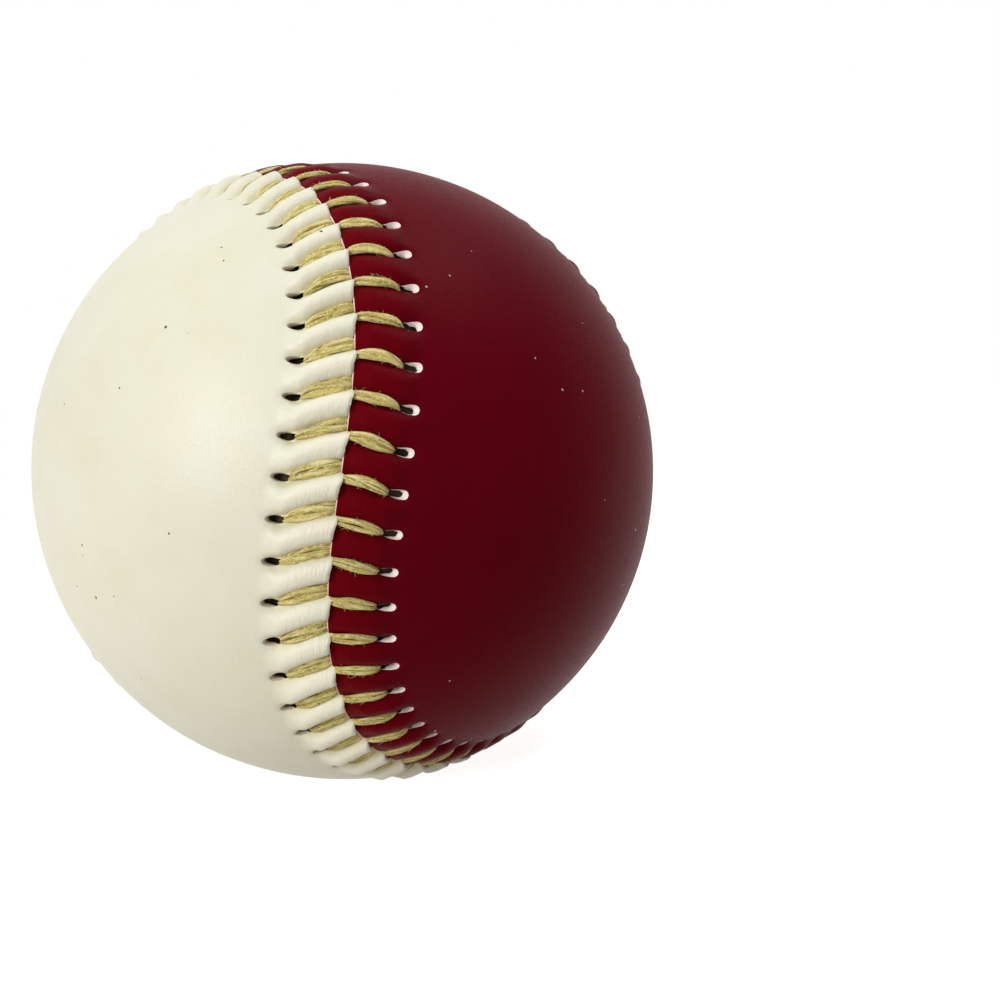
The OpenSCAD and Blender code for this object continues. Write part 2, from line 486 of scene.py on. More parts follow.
@dataclass(frozen=True)
class PanelLeather:
    """Smooth cover leather with fine grain, creases over the lips, small specks and painted shade in the
    grooves under the stitches.

    Attributes:
        name: Name of the material.
        colour: Main colour.
        deep: Colour of the faint darker clouds, and the painted shade in the grooves.
        lip: Colour over the lips beside the seam, lighter than the main colour.
        speck: Colour of the specks.
        speck_share: Share of the cells that carry a speck.
        shine: Tint of the reflection seen straight on.
        gloss: Strength of the reflection.
        roughness: Roughness of the polished face.
        cloud_scale: Clouds to a metre.
        grain_scale: Grains to a metre.
        pore_scale: Pores to a metre.
        cell_scale: Cells to a metre that may carry a speck.
        speck_radii: Smallest and greatest radius of a speck, in cells.
        lip_band: Reaches at which the lip's colour starts and is full.
        crease_band: Reaches at which the creases start and are full.
        crease_waves: Waves of the creases to a millimetre along the seam and away from it, and to a
            depth mark.
        groove_band: Depth marks at which the painted shade of the grooves starts and is full.
        crease_depth: Depth of the creases.
        grain_depth: Depth of the grain.
    """

    name: str
    colour: Colour
    deep: Colour
    lip: Colour
    speck: Colour
    speck_share: float
    shine: Colour
    gloss: float
    roughness: float
    cloud_scale: float = 140.0
    grain_scale: float = 2600.0
    pore_scale: float = 3400.0
    cell_scale: float = 420.0
    speck_radii: Pair = (0.015, 0.08)
    lip_band: Pair = (5.4, 3.6)
    crease_band: Pair = (6.0, 3.0)
    crease_waves: Triple = (0.6, 3.2, 1.0)
    groove_band: Pair = (0.3, 0.9)
    crease_depth: float = 0.09
    grain_depth: float = 0.02

    def _specks(self, bench: NodeBench, spot: bpy.types.NodeSocket) -> bpy.types.NodeSocket:
        """Scatters ragged specks.

        Args:
            bench: The material's bench.
            spot: Place on the object.

        Returns:
            1 on a speck and 0 elsewhere.
        """
        distance, lot = bench.cells(spot, self.cell_scale)
        radius = bench.span(bench.noise(spot, 1500.0), 0.3, 0.7, *self.speck_radii)
        chosen = bench.combine(bench.first_part(lot), 1.0 - self.speck_share, "GREATER_THAN")
        return bench.combine(bench.combine(distance, radius, "LESS_THAN"), chosen)

    def build(self) -> bpy.types.Material:
        """Makes the material.

        Returns:
            The material.
        """
        bench = NodeBench(self.name)
        spot = bench.place()
        clouds = bench.noise(spot, self.cloud_scale)
        grain = bench.noise(spot, self.grain_scale, 4.0, 0.6)
        pores, _ = bench.cells(spot, self.pore_scale)
        _, reach, depth = bench.parts(bench.marks(LACE_MARKS))
        creases = bench.noise(bench.marks(LACE_MARKS, self.crease_waves), 1.0, 4.0, 0.62, 1.2)
        creases = bench.combine(creases, bench.span(reach, *self.crease_band))
        tone = bench.blend(bench.span(clouds, 0.35, 0.7, 0.0, 0.3), self.colour, self.deep)
        tone = bench.blend(bench.span(reach, *self.lip_band), tone, self.lip)
        # Painted shade: the grooves under the stitches darken with their depth marks.
        tone = bench.blend(bench.span(depth, *self.groove_band), tone, self.deep)
        tone = bench.blend(self._specks(bench, spot), tone, self.speck)
        fine = bench.combine(bench.span(grain, 0.2, 0.8), bench.span(pores, 0.0, 0.5))
        coarse = bench.relief(creases, self.crease_depth)
        return bench.finish({
            "Base Color": tone,
            "Roughness": bench.span(grain, 0.2, 0.8, self.roughness - 0.06, self.roughness + 0.08),
            "Specular Tint": self.shine,
            "Specular IOR Level": self.gloss,
            "Normal": bench.relief(fine, self.grain_depth, coarse),
        })


@dataclass(frozen=True)
class RawEdge:
    """Cut leather where the knife or the punch went through, with loose fibres, and painted shade that
    darkens the holes towards their bottom and the cut edge towards its foot.

    Attributes:
        name: Name of the material.
        colour: Colour of the fibres.
        deep: Colour between them.
        punched: Colour of the fibres in the holes.
        shade_colour: Painted shade at the bottom of the holes and at the foot of the cut edge.
        shade_depths: Depth marks at which the painted shade starts and is full.
        hole_band: Reaches between the cut edge, with its colour, and the holes, with theirs.
        fibre_scale: Fibres to a metre.
        fibre_depth: Depth between the fibres.
    """

    name: str
    colour: Colour
    deep: Colour
    punched: Colour
    shade_colour: Colour
    shade_depths: Pair
    hole_band: Pair = (2.5, 3.0)
    fibre_scale: float = 4200.0
    fibre_depth: float = 0.06

    def build(self) -> bpy.types.Material:
        """Makes the material.

        Returns:
            The material.
        """
        bench = NodeBench(self.name)
        fibres = bench.noise(bench.place(), self.fibre_scale, 4.0, 0.7)
        _, reach, depth = bench.parts(bench.marks(LACE_MARKS))
        tone = bench.blend(bench.span(reach, *self.hole_band), self.colour, self.punched)
        tone = bench.blend(bench.span(fibres, 0.6, 0.3, 0.0, 0.5), tone, self.deep)
        # Painted shade: the fibres turn to the shade colour deeper in the holes and lower on the cut edge.
        tone = bench.blend(bench.span(depth, *self.shade_depths), tone, self.shade_colour)
        return bench.finish({
            "Base Color": tone,
            "Roughness": 0.9,
            "Specular IOR Level": 0.15,
            "Normal": bench.relief(fibres, self.fibre_depth),
        })


@dataclass(frozen=True)
class WaxedThread:
    """Flax thread with fibres along each ply and a little wax.

    Attributes:
        name: Name of the material.
        colour: Colour of the lit fibres.
        deep: Colour of the grooves between them.
        pale: Colour of the palest fibres.
        strand_waves: Waves of the strands to a unit along the ply and round it.
        patch_waves: Waves of the darker patches to a unit along the ply and round it.
        nap_scale: Loose fibres to a metre.
        strand_depth: Depth between the strands.
        nap_depth: Depth between the loose fibres.
    """

    name: str
    colour: Colour
    deep: Colour
    pale: Colour
    strand_waves: Triple = (0.55, 3.2, 1.0)
    patch_waves: Triple = (0.4, 0.8, 1.0)
    nap_scale: float = 4200.0
    strand_depth: float = 0.16
    nap_depth: float = 0.12

    def build(self) -> bpy.types.Material:
        """Makes the material.

        Returns:
            The material.
        """
        bench = NodeBench(self.name)
        strands = bench.noise(bench.marks(FIBRE_MARKS, self.strand_waves), 1.0, 3.0, 0.62, 0.8)
        nap = bench.noise(bench.place(), self.nap_scale, 4.0, 0.7)
        patches = bench.noise(bench.marks(FIBRE_MARKS, self.patch_waves), 1.0, 2.0)
        tone = bench.blend(bench.span(strands, 0.33, 0.47), self.deep, self.colour)
        tone = bench.blend(bench.span(strands, 0.50, 0.62), tone, self.pale)
        tone = bench.blend(bench.span(nap, 0.50, 0.62, 0.0, 0.75), tone, self.pale)
        tone = bench.blend(bench.span(nap, 0.42, 0.34, 0.0, 0.35), tone, self.deep)
        tone = bench.blend(bench.span(patches, 0.5, 0.75, 0.0, 0.3), tone, self.deep)
        coarse = bench.relief(strands, self.strand_depth)
        return bench.finish({
            "Base Color": tone,
            "Roughness": 0.72,
            "Specular IOR Level": 0.25,
            "Sheen Weight": 0.15,
            "Normal": bench.relief(nap, self.nap_depth, coarse),
        })


@dataclass(frozen=True)
class PressedCork:
    """Cork granules pressed into a ball.

    Attributes:
        name: Name of the material.
        colour: Colour of the granules.
        deep: Colour between them.
        granule_scale: Granules to a metre.
        pit_scale: Pits to a metre.
        pit_depth: Depth of the pits.
    """

    name: str
    colour: Colour
    deep: Colour
    granule_scale: float = 620.0
    pit_scale: float = 1500.0
    pit_depth: float = 0.15

    def build(self) -> bpy.types.Material:
        """Makes the material.

        Returns:
            The material.
        """
        bench = NodeBench(self.name)
        spot = bench.place()
        distance, lot = bench.cells(spot, self.granule_scale)
        edge = bench.span(distance, 0.35, 0.75)
        shade = bench.span(bench.first_part(lot), 0.0, 1.0, 0.0, 0.6)
        tone = bench.blend(shade, self.colour, self.deep)
        tone = bench.blend(bench.combine(edge, 0.7), tone, self.deep)
        return bench.finish({
            "Base Color": tone,
            "Roughness": 0.85,
            "Normal": bench.relief(bench.noise(spot, self.pit_scale), self.pit_depth),
        })


@dataclass(frozen=True)
class MouldedRubber:
    """Moulded rubber with a bloom of dust and fine pits.

    Attributes:
        name: Name of the material.
        colour: Colour of the rubber.
        bloom: Colour of the dust on it.
        dust_scale: Patches of dust to a metre.
        pit_scale: Pits to a metre.
        pit_depth: Depth of the pits.
    """

    name: str
    colour: Colour
    bloom: Colour
    dust_scale: float = 260.0
    pit_scale: float = 3000.0
    pit_depth: float = 0.04

    def build(self) -> bpy.types.Material:
        """Makes the material.

        Returns:
            The material.
        """
        bench = NodeBench(self.name)
        spot = bench.place()
        dust = bench.noise(spot, self.dust_scale, 5.0, 0.6)
        pits = bench.noise(spot, self.pit_scale, 2.0)
        return bench.finish({
            "Base Color": bench.blend(bench.span(dust, 0.45, 0.75, 0.0, 0.35), self.colour, self.bloom),
            "Roughness": bench.span(dust, 0.3, 0.7, 0.5, 0.75),
            "Normal": bench.relief(pits, self.pit_depth),
        })


@dataclass(frozen=True)
class WoundYarn:
    """Yarn wound over the ball in crossing turns.

    Attributes:
        name: Name of the material.
        colour: Colour of the yarn's top.
        deep: Colour between the turns.
        fleck: Colour of stray fibres in the yarn.
        yarn: Thickness of the yarn. A turn is drawn 2 pi times as wide.
        wave_rate: Radians of Blender's wave texture to a metre at a scale of one.
        first_tilt: Rotation of the axis of the first set of turns.
        other_tilts: Rotations of the axes of the sets that cross it in patches.
        patch_scale: Patches to a metre.
        fuzz_scale: Stray fibres to a metre.
        fuzz_depth: Depth between the stray fibres.
    """

    name: str
    colour: Colour
    deep: Colour
    fleck: Colour
    yarn: float
    wave_rate: float = 20.0
    first_tilt: Triple = (0.3, 0.2, 0.0)
    other_tilts: tuple[Triple, ...] = ((1.25, 0.5, 0.3), (0.7, 1.4, 0.9), (2.1, 0.3, 1.7))
    patch_scale: float = 120.0
    fuzz_scale: float = 2400.0
    fuzz_depth: float = 0.08

    def _turns(self, bench: NodeBench, tilt: Triple) -> bpy.types.NodeSocket:
        """Lays one set of turns round a tilted axis.

        Args:
            bench: The material's bench.
            tilt: Rotation of the axis in radians.

        Returns:
            Height of the turns from 0 to 1.
        """
        turned = bench.add("Mapping", {"Vector": bench.place(), "Rotation": tilt}).outputs[0]
        scale = 1.0 / (self.yarn * MILLIMETRE) / self.wave_rate
        inputs = {"Vector": turned, "Scale": scale, "Distortion": 1.2, "Detail": 2.0, "Detail Scale": 0.25}
        return bench.add("TexWave", inputs, bands_direction="Z").outputs["Fac"]

    def build(self) -> bpy.types.Material:
        """Makes the material.

        Returns:
            The material.
        """
        bench = NodeBench(self.name)
        spot = bench.place()
        height = self._turns(bench, self.first_tilt)
        for tilt in self.other_tilts:
            moved = bench.add("Mapping", {"Vector": spot, "Location": tilt}).outputs[0]
            patch = bench.span(bench.noise(moved, self.patch_scale), 0.48, 0.52)
            height = bench.shift(patch, height, self._turns(bench, tilt))
        fuzz = bench.noise(spot, self.fuzz_scale, 4.0, 0.7)
        tone = bench.blend(bench.span(height, 0.1, 0.6), self.deep, self.colour)
        tone = bench.blend(bench.span(fuzz, 0.58, 0.7, 0.0, 0.6), tone, self.fleck)
        coarse = bench.relief(height, 0.5 * self.yarn)
        return bench.finish({
            "Base Color": tone,
            "Roughness": 0.95,
            "Specular IOR Level": 0.1,
            "Sheen Weight": 0.2,
            "Normal": bench.relief(fuzz, self.fuzz_depth, coarse),
        })


@dataclass(frozen=True)
class InnerPiece:
    """A solid under the cover that keeps its CAD mesh and gets a finish.

    Attributes:
        node: Name of the CAD node.
        slot: Material slot of the record. Not used.
        finish: Its finish.
    """

    node: str
    slot: str
    finish: PressedCork | MouldedRubber | WoundYarn

    def dress(self) -> bpy.types.Object:
        """Gives the node its material.

        Returns:
            The solid.
        """
        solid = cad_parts[self.node]
        material = self.finish.build()
        for place in solid.material_slots:
            place.link = "OBJECT"
            place.material = material
        return solid


@dataclass
class WoundCore:
    """The pill in the middle and the windings over it.

    Attributes:
        pieces: The solids from the inside out.
    """

    pieces: list[InnerPiece] = field(init=False)

    def __post_init__(self) -> None:
        """Lists the solids."""
        cork = PressedCork("pressed_cork", (0.42, 0.26, 0.13, 1.0), (0.16, 0.08, 0.035, 1.0))
        black = MouldedRubber("black_shell_rubber", (0.018, 0.018, 0.019, 1.0), (0.09, 0.09, 0.085, 1.0))
        red = MouldedRubber("red_jacket_rubber", (0.40, 0.045, 0.030, 1.0), (0.55, 0.24, 0.19, 1.0))
        grey = WoundYarn("grey_wool_yarn", (0.30, 0.29, 0.27, 1.0), (0.07, 0.065, 0.06, 1.0),
                         (0.55, 0.53, 0.48, 1.0), 1.3)
        white = WoundYarn("white_wool_yarn", (0.72, 0.69, 0.60, 1.0), (0.25, 0.22, 0.17, 1.0),
                          (0.85, 0.83, 0.76, 1.0), 1.0)
        # Painted shade: the finish yarn shows only through the holes, and its near-black brown stands for
        # the shade in them.
        fine = WoundYarn("fine_yarn_dark_as_hole_shade", (0.11, 0.08, 0.05, 1.0), (0.030, 0.020, 0.012, 1.0),
                         (0.18, 0.14, 0.09, 1.0), 0.45)
        self.pieces = [
            InnerPiece("cork_core", "cork", cork),
            InnerPiece("inner_shell_upper", "black_rubber", black),
            InnerPiece("inner_shell_lower", "black_rubber", black),
            InnerPiece("sealing_washer", "red_rubber", red),
            InnerPiece("rubber_jacket", "red_rubber", red),
            InnerPiece("first_winding", "grey_wool", grey),
            InnerPiece("second_winding", "white_wool", white),
            InnerPiece("third_winding", "grey_wool", grey),
            InnerPiece("finish_winding", "fine_yarn", fine),
        ]

    def dress(self) -> list[bpy.types.Object]:
        """Dresses every solid and returns them."""
        return [piece.dress() for piece in self.pieces]


@dataclass(frozen=True)
class PunchedHole:
    """The slot that every stitch comes up through.

    Attributes:
        reach: Distance of its middle from the seam.
        half_length: Half of its length across the seam.
        half_width: Half of its width.
        taper: Share by which the end by the seam is narrower.
        far_taper: Share by which the other end is narrower.
        far_slope: How far the end away from the seam slopes in towards the bottom.
        steps: Depth share, inset at the sides and inset at the far end of each ring of the wall.
        taper_span: Distances beyond its middle at which the taper starts and is full.
        far_taper_span: The same for the far taper.
        side_span: Shares of its length over which the sides come to their full inset.
        slope_rise: Distances beyond its middle at which the slope starts and is full.
        slope_fall: Distances beyond its middle at which the slope ends and is still full.
        round_widths: Half widths within which the net runs round the slot, and is then tapered too.
        rim_dip: How far the leather sinks at the rim.
        dip_width: How far from the rim it sinks.
        dip_reaches: Distances from its middle across the seam at which the dip ends and is still full.
        dip_offsets: The same along the seam.
    """

    reach: float = 5.4
    half_length: float = 1.05
    half_width: float = 0.47
    taper: float = 0.38
    far_taper: float = 0.0
    far_slope: float = 0.30
    steps: tuple[Triple, ...] = ((0.07, 0.03, 0.10), (0.25, 0.08, 0.27), (0.62, 0.14, 0.42))
    taper_span: Pair = (0.3, -1.0)
    far_taper_span: Pair = (0.0, 1.05)
    side_span: Pair = (0.0, 0.6)
    slope_rise: Pair = (0.0, 1.0)
    slope_fall: Pair = (2.2, 1.1)
    round_widths: Pair = (3.0, 4.0)
    rim_dip: float = 0.10
    dip_width: float = 0.3
    dip_reaches: Pair = (2.2, 1.2)
    dip_offsets: Pair = (1.2, 0.7)

    @property
    def straight(self) -> float:
        """Half of the length of its straight sides."""
        return self.half_length - self.half_width

    def inset(self, offsets: np.ndarray, reaches: np.ndarray, side: float,
              far: float) -> tuple[np.ndarray, np.ndarray]:
        """Moves points of the slot's outline inward.

        Args:
            offsets: Distances from the slot's middle along the seam.
            reaches: Distances from the seam.
            side: How far the points at the sides move.
            far: How far those at the end away from the seam move.

        Returns:
            New offsets and reaches.
        """
        across = reaches - self.reach
        share = np.clip((across + self.half_length) / (self.half_length + self.straight), 0.0, 1.0)
        narrower = side / self.half_width * ease(share, *self.side_span)
        return offsets * (1.0 - narrower), reaches - far * share

    def slope(self, reaches: np.ndarray) -> np.ndarray:
        """Returns how far points of the underside move in at the far end."""
        beyond = reaches - self.reach
        return self.far_slope * ease(beyond, *self.slope_rise) * ease(beyond, *self.slope_fall)

    def dip(self, offsets: np.ndarray, reaches: np.ndarray, rim: np.ndarray) -> np.ndarray:
        """Returns how far the leather sinks round the slot.

        Args:
            offsets: Distances from the slot's middle along the seam.
            reaches: Distances from the seam.
            rim: Distances from the slot's outline.

        Returns:
            Depths.
        """
        depth = self.rim_dip * np.exp(-((rim / self.dip_width) ** 2))
        depth = depth * ease(np.abs(reaches - self.reach), *self.dip_reaches)
        return depth * ease(np.abs(offsets), *self.dip_offsets)

    def round_off(self, offsets: np.ndarray,
                  reaches: np.ndarray) -> tuple[np.ndarray, np.ndarray, np.ndarray]:
        """Moves points of a square net so that it runs round the slot.

        Args:
            offsets: Distances from the slot's middle along the seam.
            reaches: Distances from the seam.

        Returns:
            New offsets, new reaches and the distances from the slot's outline.
        """
        round_width, taper_width = self.round_widths
        across = reaches - self.reach
        beyond = np.sign(across) * np.maximum(np.abs(across) - self.straight, 0.0)
        square = np.maximum(np.abs(offsets), np.abs(beyond))
        circle = np.hypot(offsets, beyond)
        rounder = np.where(circle > TINY, square / np.maximum(circle, TINY), 1.0)
        rounder = rounder + (1.0 - rounder) * ease(square, self.half_width, round_width * self.half_width)
        narrower = self.taper * ease(across, *self.taper_span)
        narrower = narrower + self.far_taper * ease(across, *self.far_taper_span)
        narrower *= ease(square, taper_width * self.half_width, self.half_width)
        new_offsets = offsets * rounder * (1.0 - narrower)
        new_reaches = reaches + beyond * (rounder - 1.0)
        return new_offsets, new_reaches, np.maximum(circle * rounder - self.half_width, 0.0)


@dataclass
class CoverPanel:
    """One leather panel, from its cut edge at the seam over the punched holes to its middle.

    Beside the seam it is a net of rows at given reaches and columns at given offsets from each
    stitch's middle line. Its marks are the place along the seam, the reach and the depth, which
    sets the painted shade in the grooves and on the cut walls.

    Attributes:
        side: White or red.
        node: CAD node that the panel stands for.
        slot: Material slot of the record. Not used.
        seam: The seam line.
        leather: Finish of its face.
        raw: Finish of its cut edges.
        lean_share: How far a stitch leans along the seam, as a share of the pitch.
        lip_rise: Height of the lips between the stitches.
        groove_depth: Depth of the grooves under the stitches.
        groove_half_widths: Half widths of a groove before and after the stitch.
        flank_powers: How steeply a lip rises before and after the stitch.
        edge_radius: Rounding of the lip at the seam.
        edge_steps: Place of the cut edge after a stitch and before the next.
        notch: How far the edge draws back where the thread goes down.
        raggedness: Size of the small waves in the cut edge.
        edge_profile: Share of the height, greatest depth and lean outward of each ring of the cut edge.
        seam_level: Height of the lips at the seam, as a share of their full height.
        seed: Start of the random numbers.
        hole: The slots.
        lifted_base: Height of the underside beside the seam, where the thread lifts it.
        base: Height of the underside elsewhere.
        lifted_band: Reaches between which the underside goes from the first to the second.
        lip_band: Reaches at which a lip starts and stands at its full height.
        level_band: Reaches over which a lip goes from its height at the seam to its full height.
        groove_band: Reaches at which a groove starts and has its full depth.
        groove_shade_band: The same for the depth marks, which set the painted shade in the grooves.
        edge_band: Reaches at which the net stops following the cut edge and still follows it fully.
        edge_round: How full the rounding at the seam is, as a share of a quarter circle.
        edge_round_least: Share of the rounding that a groove has.
        step_span: Shares of the way between two stitches over which the cut edge steps.
        notch_width: Width of the notch.
        lip_sizes_range: Least and greatest share of the lip's height.
        groove_sizes_range: Least and greatest share of the groove's depth.
        ragged_count: Small waves in the cut edge.
        ragged_rates: Radians to a stitch of the slowest small wave, and from each to the next.
        jog: Greatest chance step of the cut edge, in units of raggedness.
        wave_count: Gentle waves in the leather.
        wave_rates: Least and most radians of a gentle wave over the ball's radius.
        wave_limit: Share of their height at which the gentle waves are cut off.
        wave_height: Height of the gentle waves.
        sink: How far the leather lies under the smooth ball on average.
        fray: How far a point of the punched wall strays, as a share of its inset.
        edge_fray: How far a point of the cut edge strays.
        edge_gap: Least distance from the seam of a ring of the cut edge that leans inward.
        under_gap: Least distance by which the edge of the underside stands back.
        edge_shade_mark: Depth mark at the foot of the cut edge, scaled by each ring's share of the height;
            the marks set how far painted shade darkens the edge.
        thread_shade: How much deeper the depth marks read by the thread, as a share, which brings the
            painted shade of the slot higher up its wall there.
        thread_shade_span: Distances beyond the slot's middle at which that starts and is full.
        columns: Offsets of the net's columns outside the slot.
        edge_reaches: Reaches of the face's rows from the cut edge to the slots.
        slot_reaches: Reaches of the rows beside the slots.
        outer_reaches: Reaches of the face's rows beyond the slots.
        under_edge_reaches: Reaches of the underside's rows from the cut edge to the slots.
        under_outer_reaches: Reaches of the underside's rows beyond the slots.
        slot_columns: First and last column of a slot among those of its stitch.
        ring_reaches: Reaches of the two coarser rings inside the band.
        fill_spacing: Spacing of the points inside the rings.
        fill_gap: Least distance of these points from the inner ring, in spacings.
        fill_probes: Stations at which the distance from the seam is taken.
        plain_mark: Mark of the points inside the band.
        crease: Angle in degrees from which an edge is shaded sharp.
    """

    side: PanelSide
    node: str
    slot: str
    seam: SeamLine
    leather: PanelLeather
    raw: RawEdge
    lean_share: float
    lip_rise: float
    groove_depth: float
    groove_half_widths: Pair
    flank_powers: Pair
    edge_radius: float
    edge_steps: Pair
    notch: float
    raggedness: float
    edge_profile: tuple[Triple, ...]
    seam_level: float
    seed: int
    hole: PunchedHole = PunchedHole()
    lifted_base: float = -0.48
    base: float = -1.27
    lifted_band: Pair = (4.9, 5.8)
    lip_band: Pair = (6.8, 4.1)
    level_band: Pair = (0.0, 2.2)
    groove_band: Pair = (6.7, 4.9)
    groove_shade_band: Pair = (6.4, 5.0)
    edge_band: Pair = (1.6, 0.0)
    edge_round: float = 0.92
    edge_round_least: float = 0.25
    step_span: Pair = (0.12, 0.62)
    notch_width: float = 0.62
    lip_sizes_range: Pair = (0.86, 1.06)
    groove_sizes_range: Pair = (0.85, 1.1)
    ragged_count: int = 6
    ragged_rates: Pair = (7.0, 5.3)
    jog: float = 8.0
    wave_count: int = 14
    wave_rates: Pair = (8.0, 26.0)
    wave_limit: float = 0.6
    wave_height: float = 0.055
    sink: float = 0.035
    fray: float = 0.15
    edge_fray: float = 0.012
    edge_gap: float = 0.03
    under_gap: float = 0.02
    edge_shade_mark: float = 0.4
    thread_shade: float = 1.2
    thread_shade_span: Pair = (0.2, -0.6)
    columns: tuple[float, ...] = (1.69, 1.41, 1.15, 0.91, 0.69)
    edge_reaches: tuple[float, ...] = (
        0.0, 0.08, 0.2, 0.38, 0.62, 0.92, 1.28, 1.68, 2.1, 2.52, 2.94, 3.34, 3.7, 4.04)
    slot_reaches: tuple[float, ...] = (4.35, 4.56, 4.77, 5.08, 5.4, 5.72, 6.03, 6.24, 6.45)
    outer_reaches: tuple[float, ...] = (6.66, 6.92, 7.24, 7.64, 8.1)
    under_edge_reaches: tuple[float, ...] = (0.06, 1.2, 2.4, 3.5)
    under_outer_reaches: tuple[float, ...] = (6.92, 7.5, 8.1)
    slot_columns: tuple[int, int] = (6, 10)
    ring_reaches: Pair = (8.6, 9.3)
    fill_spacing: float = 1.15
    fill_gap: float = 0.6
    fill_probes: int = 1500
    plain_mark: Triple = (0.0, 9.0, 0.0)
    crease: float = 48.0

    def __post_init__(self) -> None:
        """Draws the small differences between one stitch and the next."""
        chance = np.random.default_rng(self.seed)
        count = self.seam.stitch_count
        self.pitch = self.seam.pitch
        half = self.pitch / 2
        beside = (*self.columns, self.hole.half_width, 0.5 * self.hole.half_width)
        self.offsets = np.array([-half, *(-b for b in beside), 0.0, *reversed(beside)])
        self.lip_sizes = chance.uniform(*self.lip_sizes_range, count)
        self.groove_sizes = chance.uniform(*self.groove_sizes_range, count)
        self.edge_jogs = chance.uniform(-self.jog, self.jog, count) * self.raggedness
        self.wave_aims = unit(chance.normal(0.0, 1.0, (self.wave_count, 3)))
        self.wave_aims = self.wave_aims * chance.uniform(*self.wave_rates, (self.wave_count, 1))
        self.wave_starts = chance.uniform(0.0, 2.0 * math.pi, self.wave_count)
        self.edge_waves = chance.uniform(0.0, 2.0 * math.pi, self.ragged_count)

    def _net(self, reaches: tuple[float, ...]) -> tuple[np.ndarray, np.ndarray, np.ndarray]:
        """Lays out a net over the band beside the seam.

        Args:
            reaches: Distances of the rows from the seam.

        Returns:
            Arrays of rows by columns: the stitch's number, the offset and the reach.
        """
        count = self.seam.stitch_count
        stitch = np.repeat(np.arange(count), len(self.offsets))[None, :]
        offset = np.tile(self.offsets, count)[None, :]
        reach = np.array(reaches)[:, None]
        shape = (len(reaches), count * len(self.offsets))
        return tuple(np.broadcast_to(values, shape).copy() for values in (stitch, offset, reach))

    def _stations(self, stitch: np.ndarray, offset: np.ndarray, reach: np.ndarray) -> np.ndarray:
        """Returns stations of net points, which lean with the stitches towards the seam."""
        return stitch + offset / self.pitch - self.lean_share * lean_left(reach)

    def _lip_number(self, stitch: np.ndarray, offset: np.ndarray) -> np.ndarray:
        """Returns the number of the lip that points lie on, which is that of the stitch before it."""
        return np.mod(stitch + np.where(offset < 0, -1, 0), self.seam.stitch_count)

    def _swell(self, offset: np.ndarray) -> np.ndarray:
        """Shapes the lips across their length.

        Args:
            offset: Distances from the stitch's middle line.

        Returns:
            0 in a groove and 1 on the crest of a lip.
        """
        half = self.pitch / 2
        before, after = self.groove_half_widths
        groove = np.where(offset < 0, before, after)
        power = np.where(offset < 0, *self.flank_powers)
        flank = np.clip((np.abs(offset) - groove) / (half - groove), 0.0, 1.0)
        return 1.0 - (1.0 - flank) ** power

    def _edge(self, stitch: np.ndarray, offset: np.ndarray) -> np.ndarray:
        """Shapes the cut edge.

        Args:
            stitch: Numbers of the stitches.
            offset: Distances from the stitch's middle line.

        Returns:
            How far the cut edge stands back from the seam line.
        """
        progress = np.mod(offset, self.pitch) / self.pitch
        first, last = self.edge_steps
        step = first + (last - first) * ease(progress, *self.step_span)
        step = step + self.edge_jogs[self._lip_number(stitch, offset)]
        station = stitch + offset / self.pitch
        slowest, step_up = self.ragged_rates
        ragged = sum(np.sin(station * (slowest + step_up * wave) + start)
                     for wave, start in enumerate(self.edge_waves))
        return step + self.notch * np.exp(-((offset / self.notch_width) ** 2)) + self.raggedness * ragged

    def _height(self, stitch: np.ndarray, offset: np.ndarray, reach: np.ndarray,
                rim: np.ndarray) -> tuple[np.ndarray, np.ndarray]:
        """Shapes the panel's face.

        Args:
            stitch: Numbers of the stitches.
            offset: Distances from the stitch's middle line.
            reach: Distances from the cut edge.
            rim: Distances from the slot's outline.

        Returns:
            Heights over the smooth ball, and the swells that shaped them.
        """
        swell = self._swell(offset)
        level = self.seam_level + (1.0 - self.seam_level) * ease(reach, *self.level_band)
        lip = self.lip_rise * self.lip_sizes[self._lip_number(stitch, offset)]
        lip = lip * ease(reach, *self.lip_band) * level
        groove = self.groove_depth * self.groove_sizes[np.mod(stitch, self.seam.stitch_count)]
        height = lip * swell - groove * (1.0 - swell) * ease(reach, *self.groove_band)
        radius = self.edge_radius
        fall = np.clip(1.0 - reach / radius, 0.0, 1.0)
        rounding = radius * (1.0 - np.sqrt(1.0 - self.edge_round * fall * fall))
        height = height - rounding * (self.edge_round_least + (1.0 - self.edge_round_least) * swell)
        return height - self.hole.dip(offset, reach, rim), swell

    def _unevenness(self, aims: np.ndarray) -> np.ndarray:
        """Returns how far the leather lies over the smooth ball, in gentle waves mostly below it."""
        waves = np.sin(aims @ self.wave_aims.T + self.wave_starts).mean(axis=-1)
        return -self.sink + self.wave_height * np.clip(waves, -self.wave_limit, self.wave_limit)

    def _spot(self, aims: np.ndarray, height: np.ndarray) -> np.ndarray:
        """Returns points at a height over the smooth ball."""
        return aims * (self.seam.ball_radius + height)[..., None]

    def _base_height(self, reach: np.ndarray) -> np.ndarray:
        """Returns the height of the underside, which the thread lifts beside the seam."""
        return self.lifted_base + (self.base - self.lifted_base) * ease(reach, *self.lifted_band)

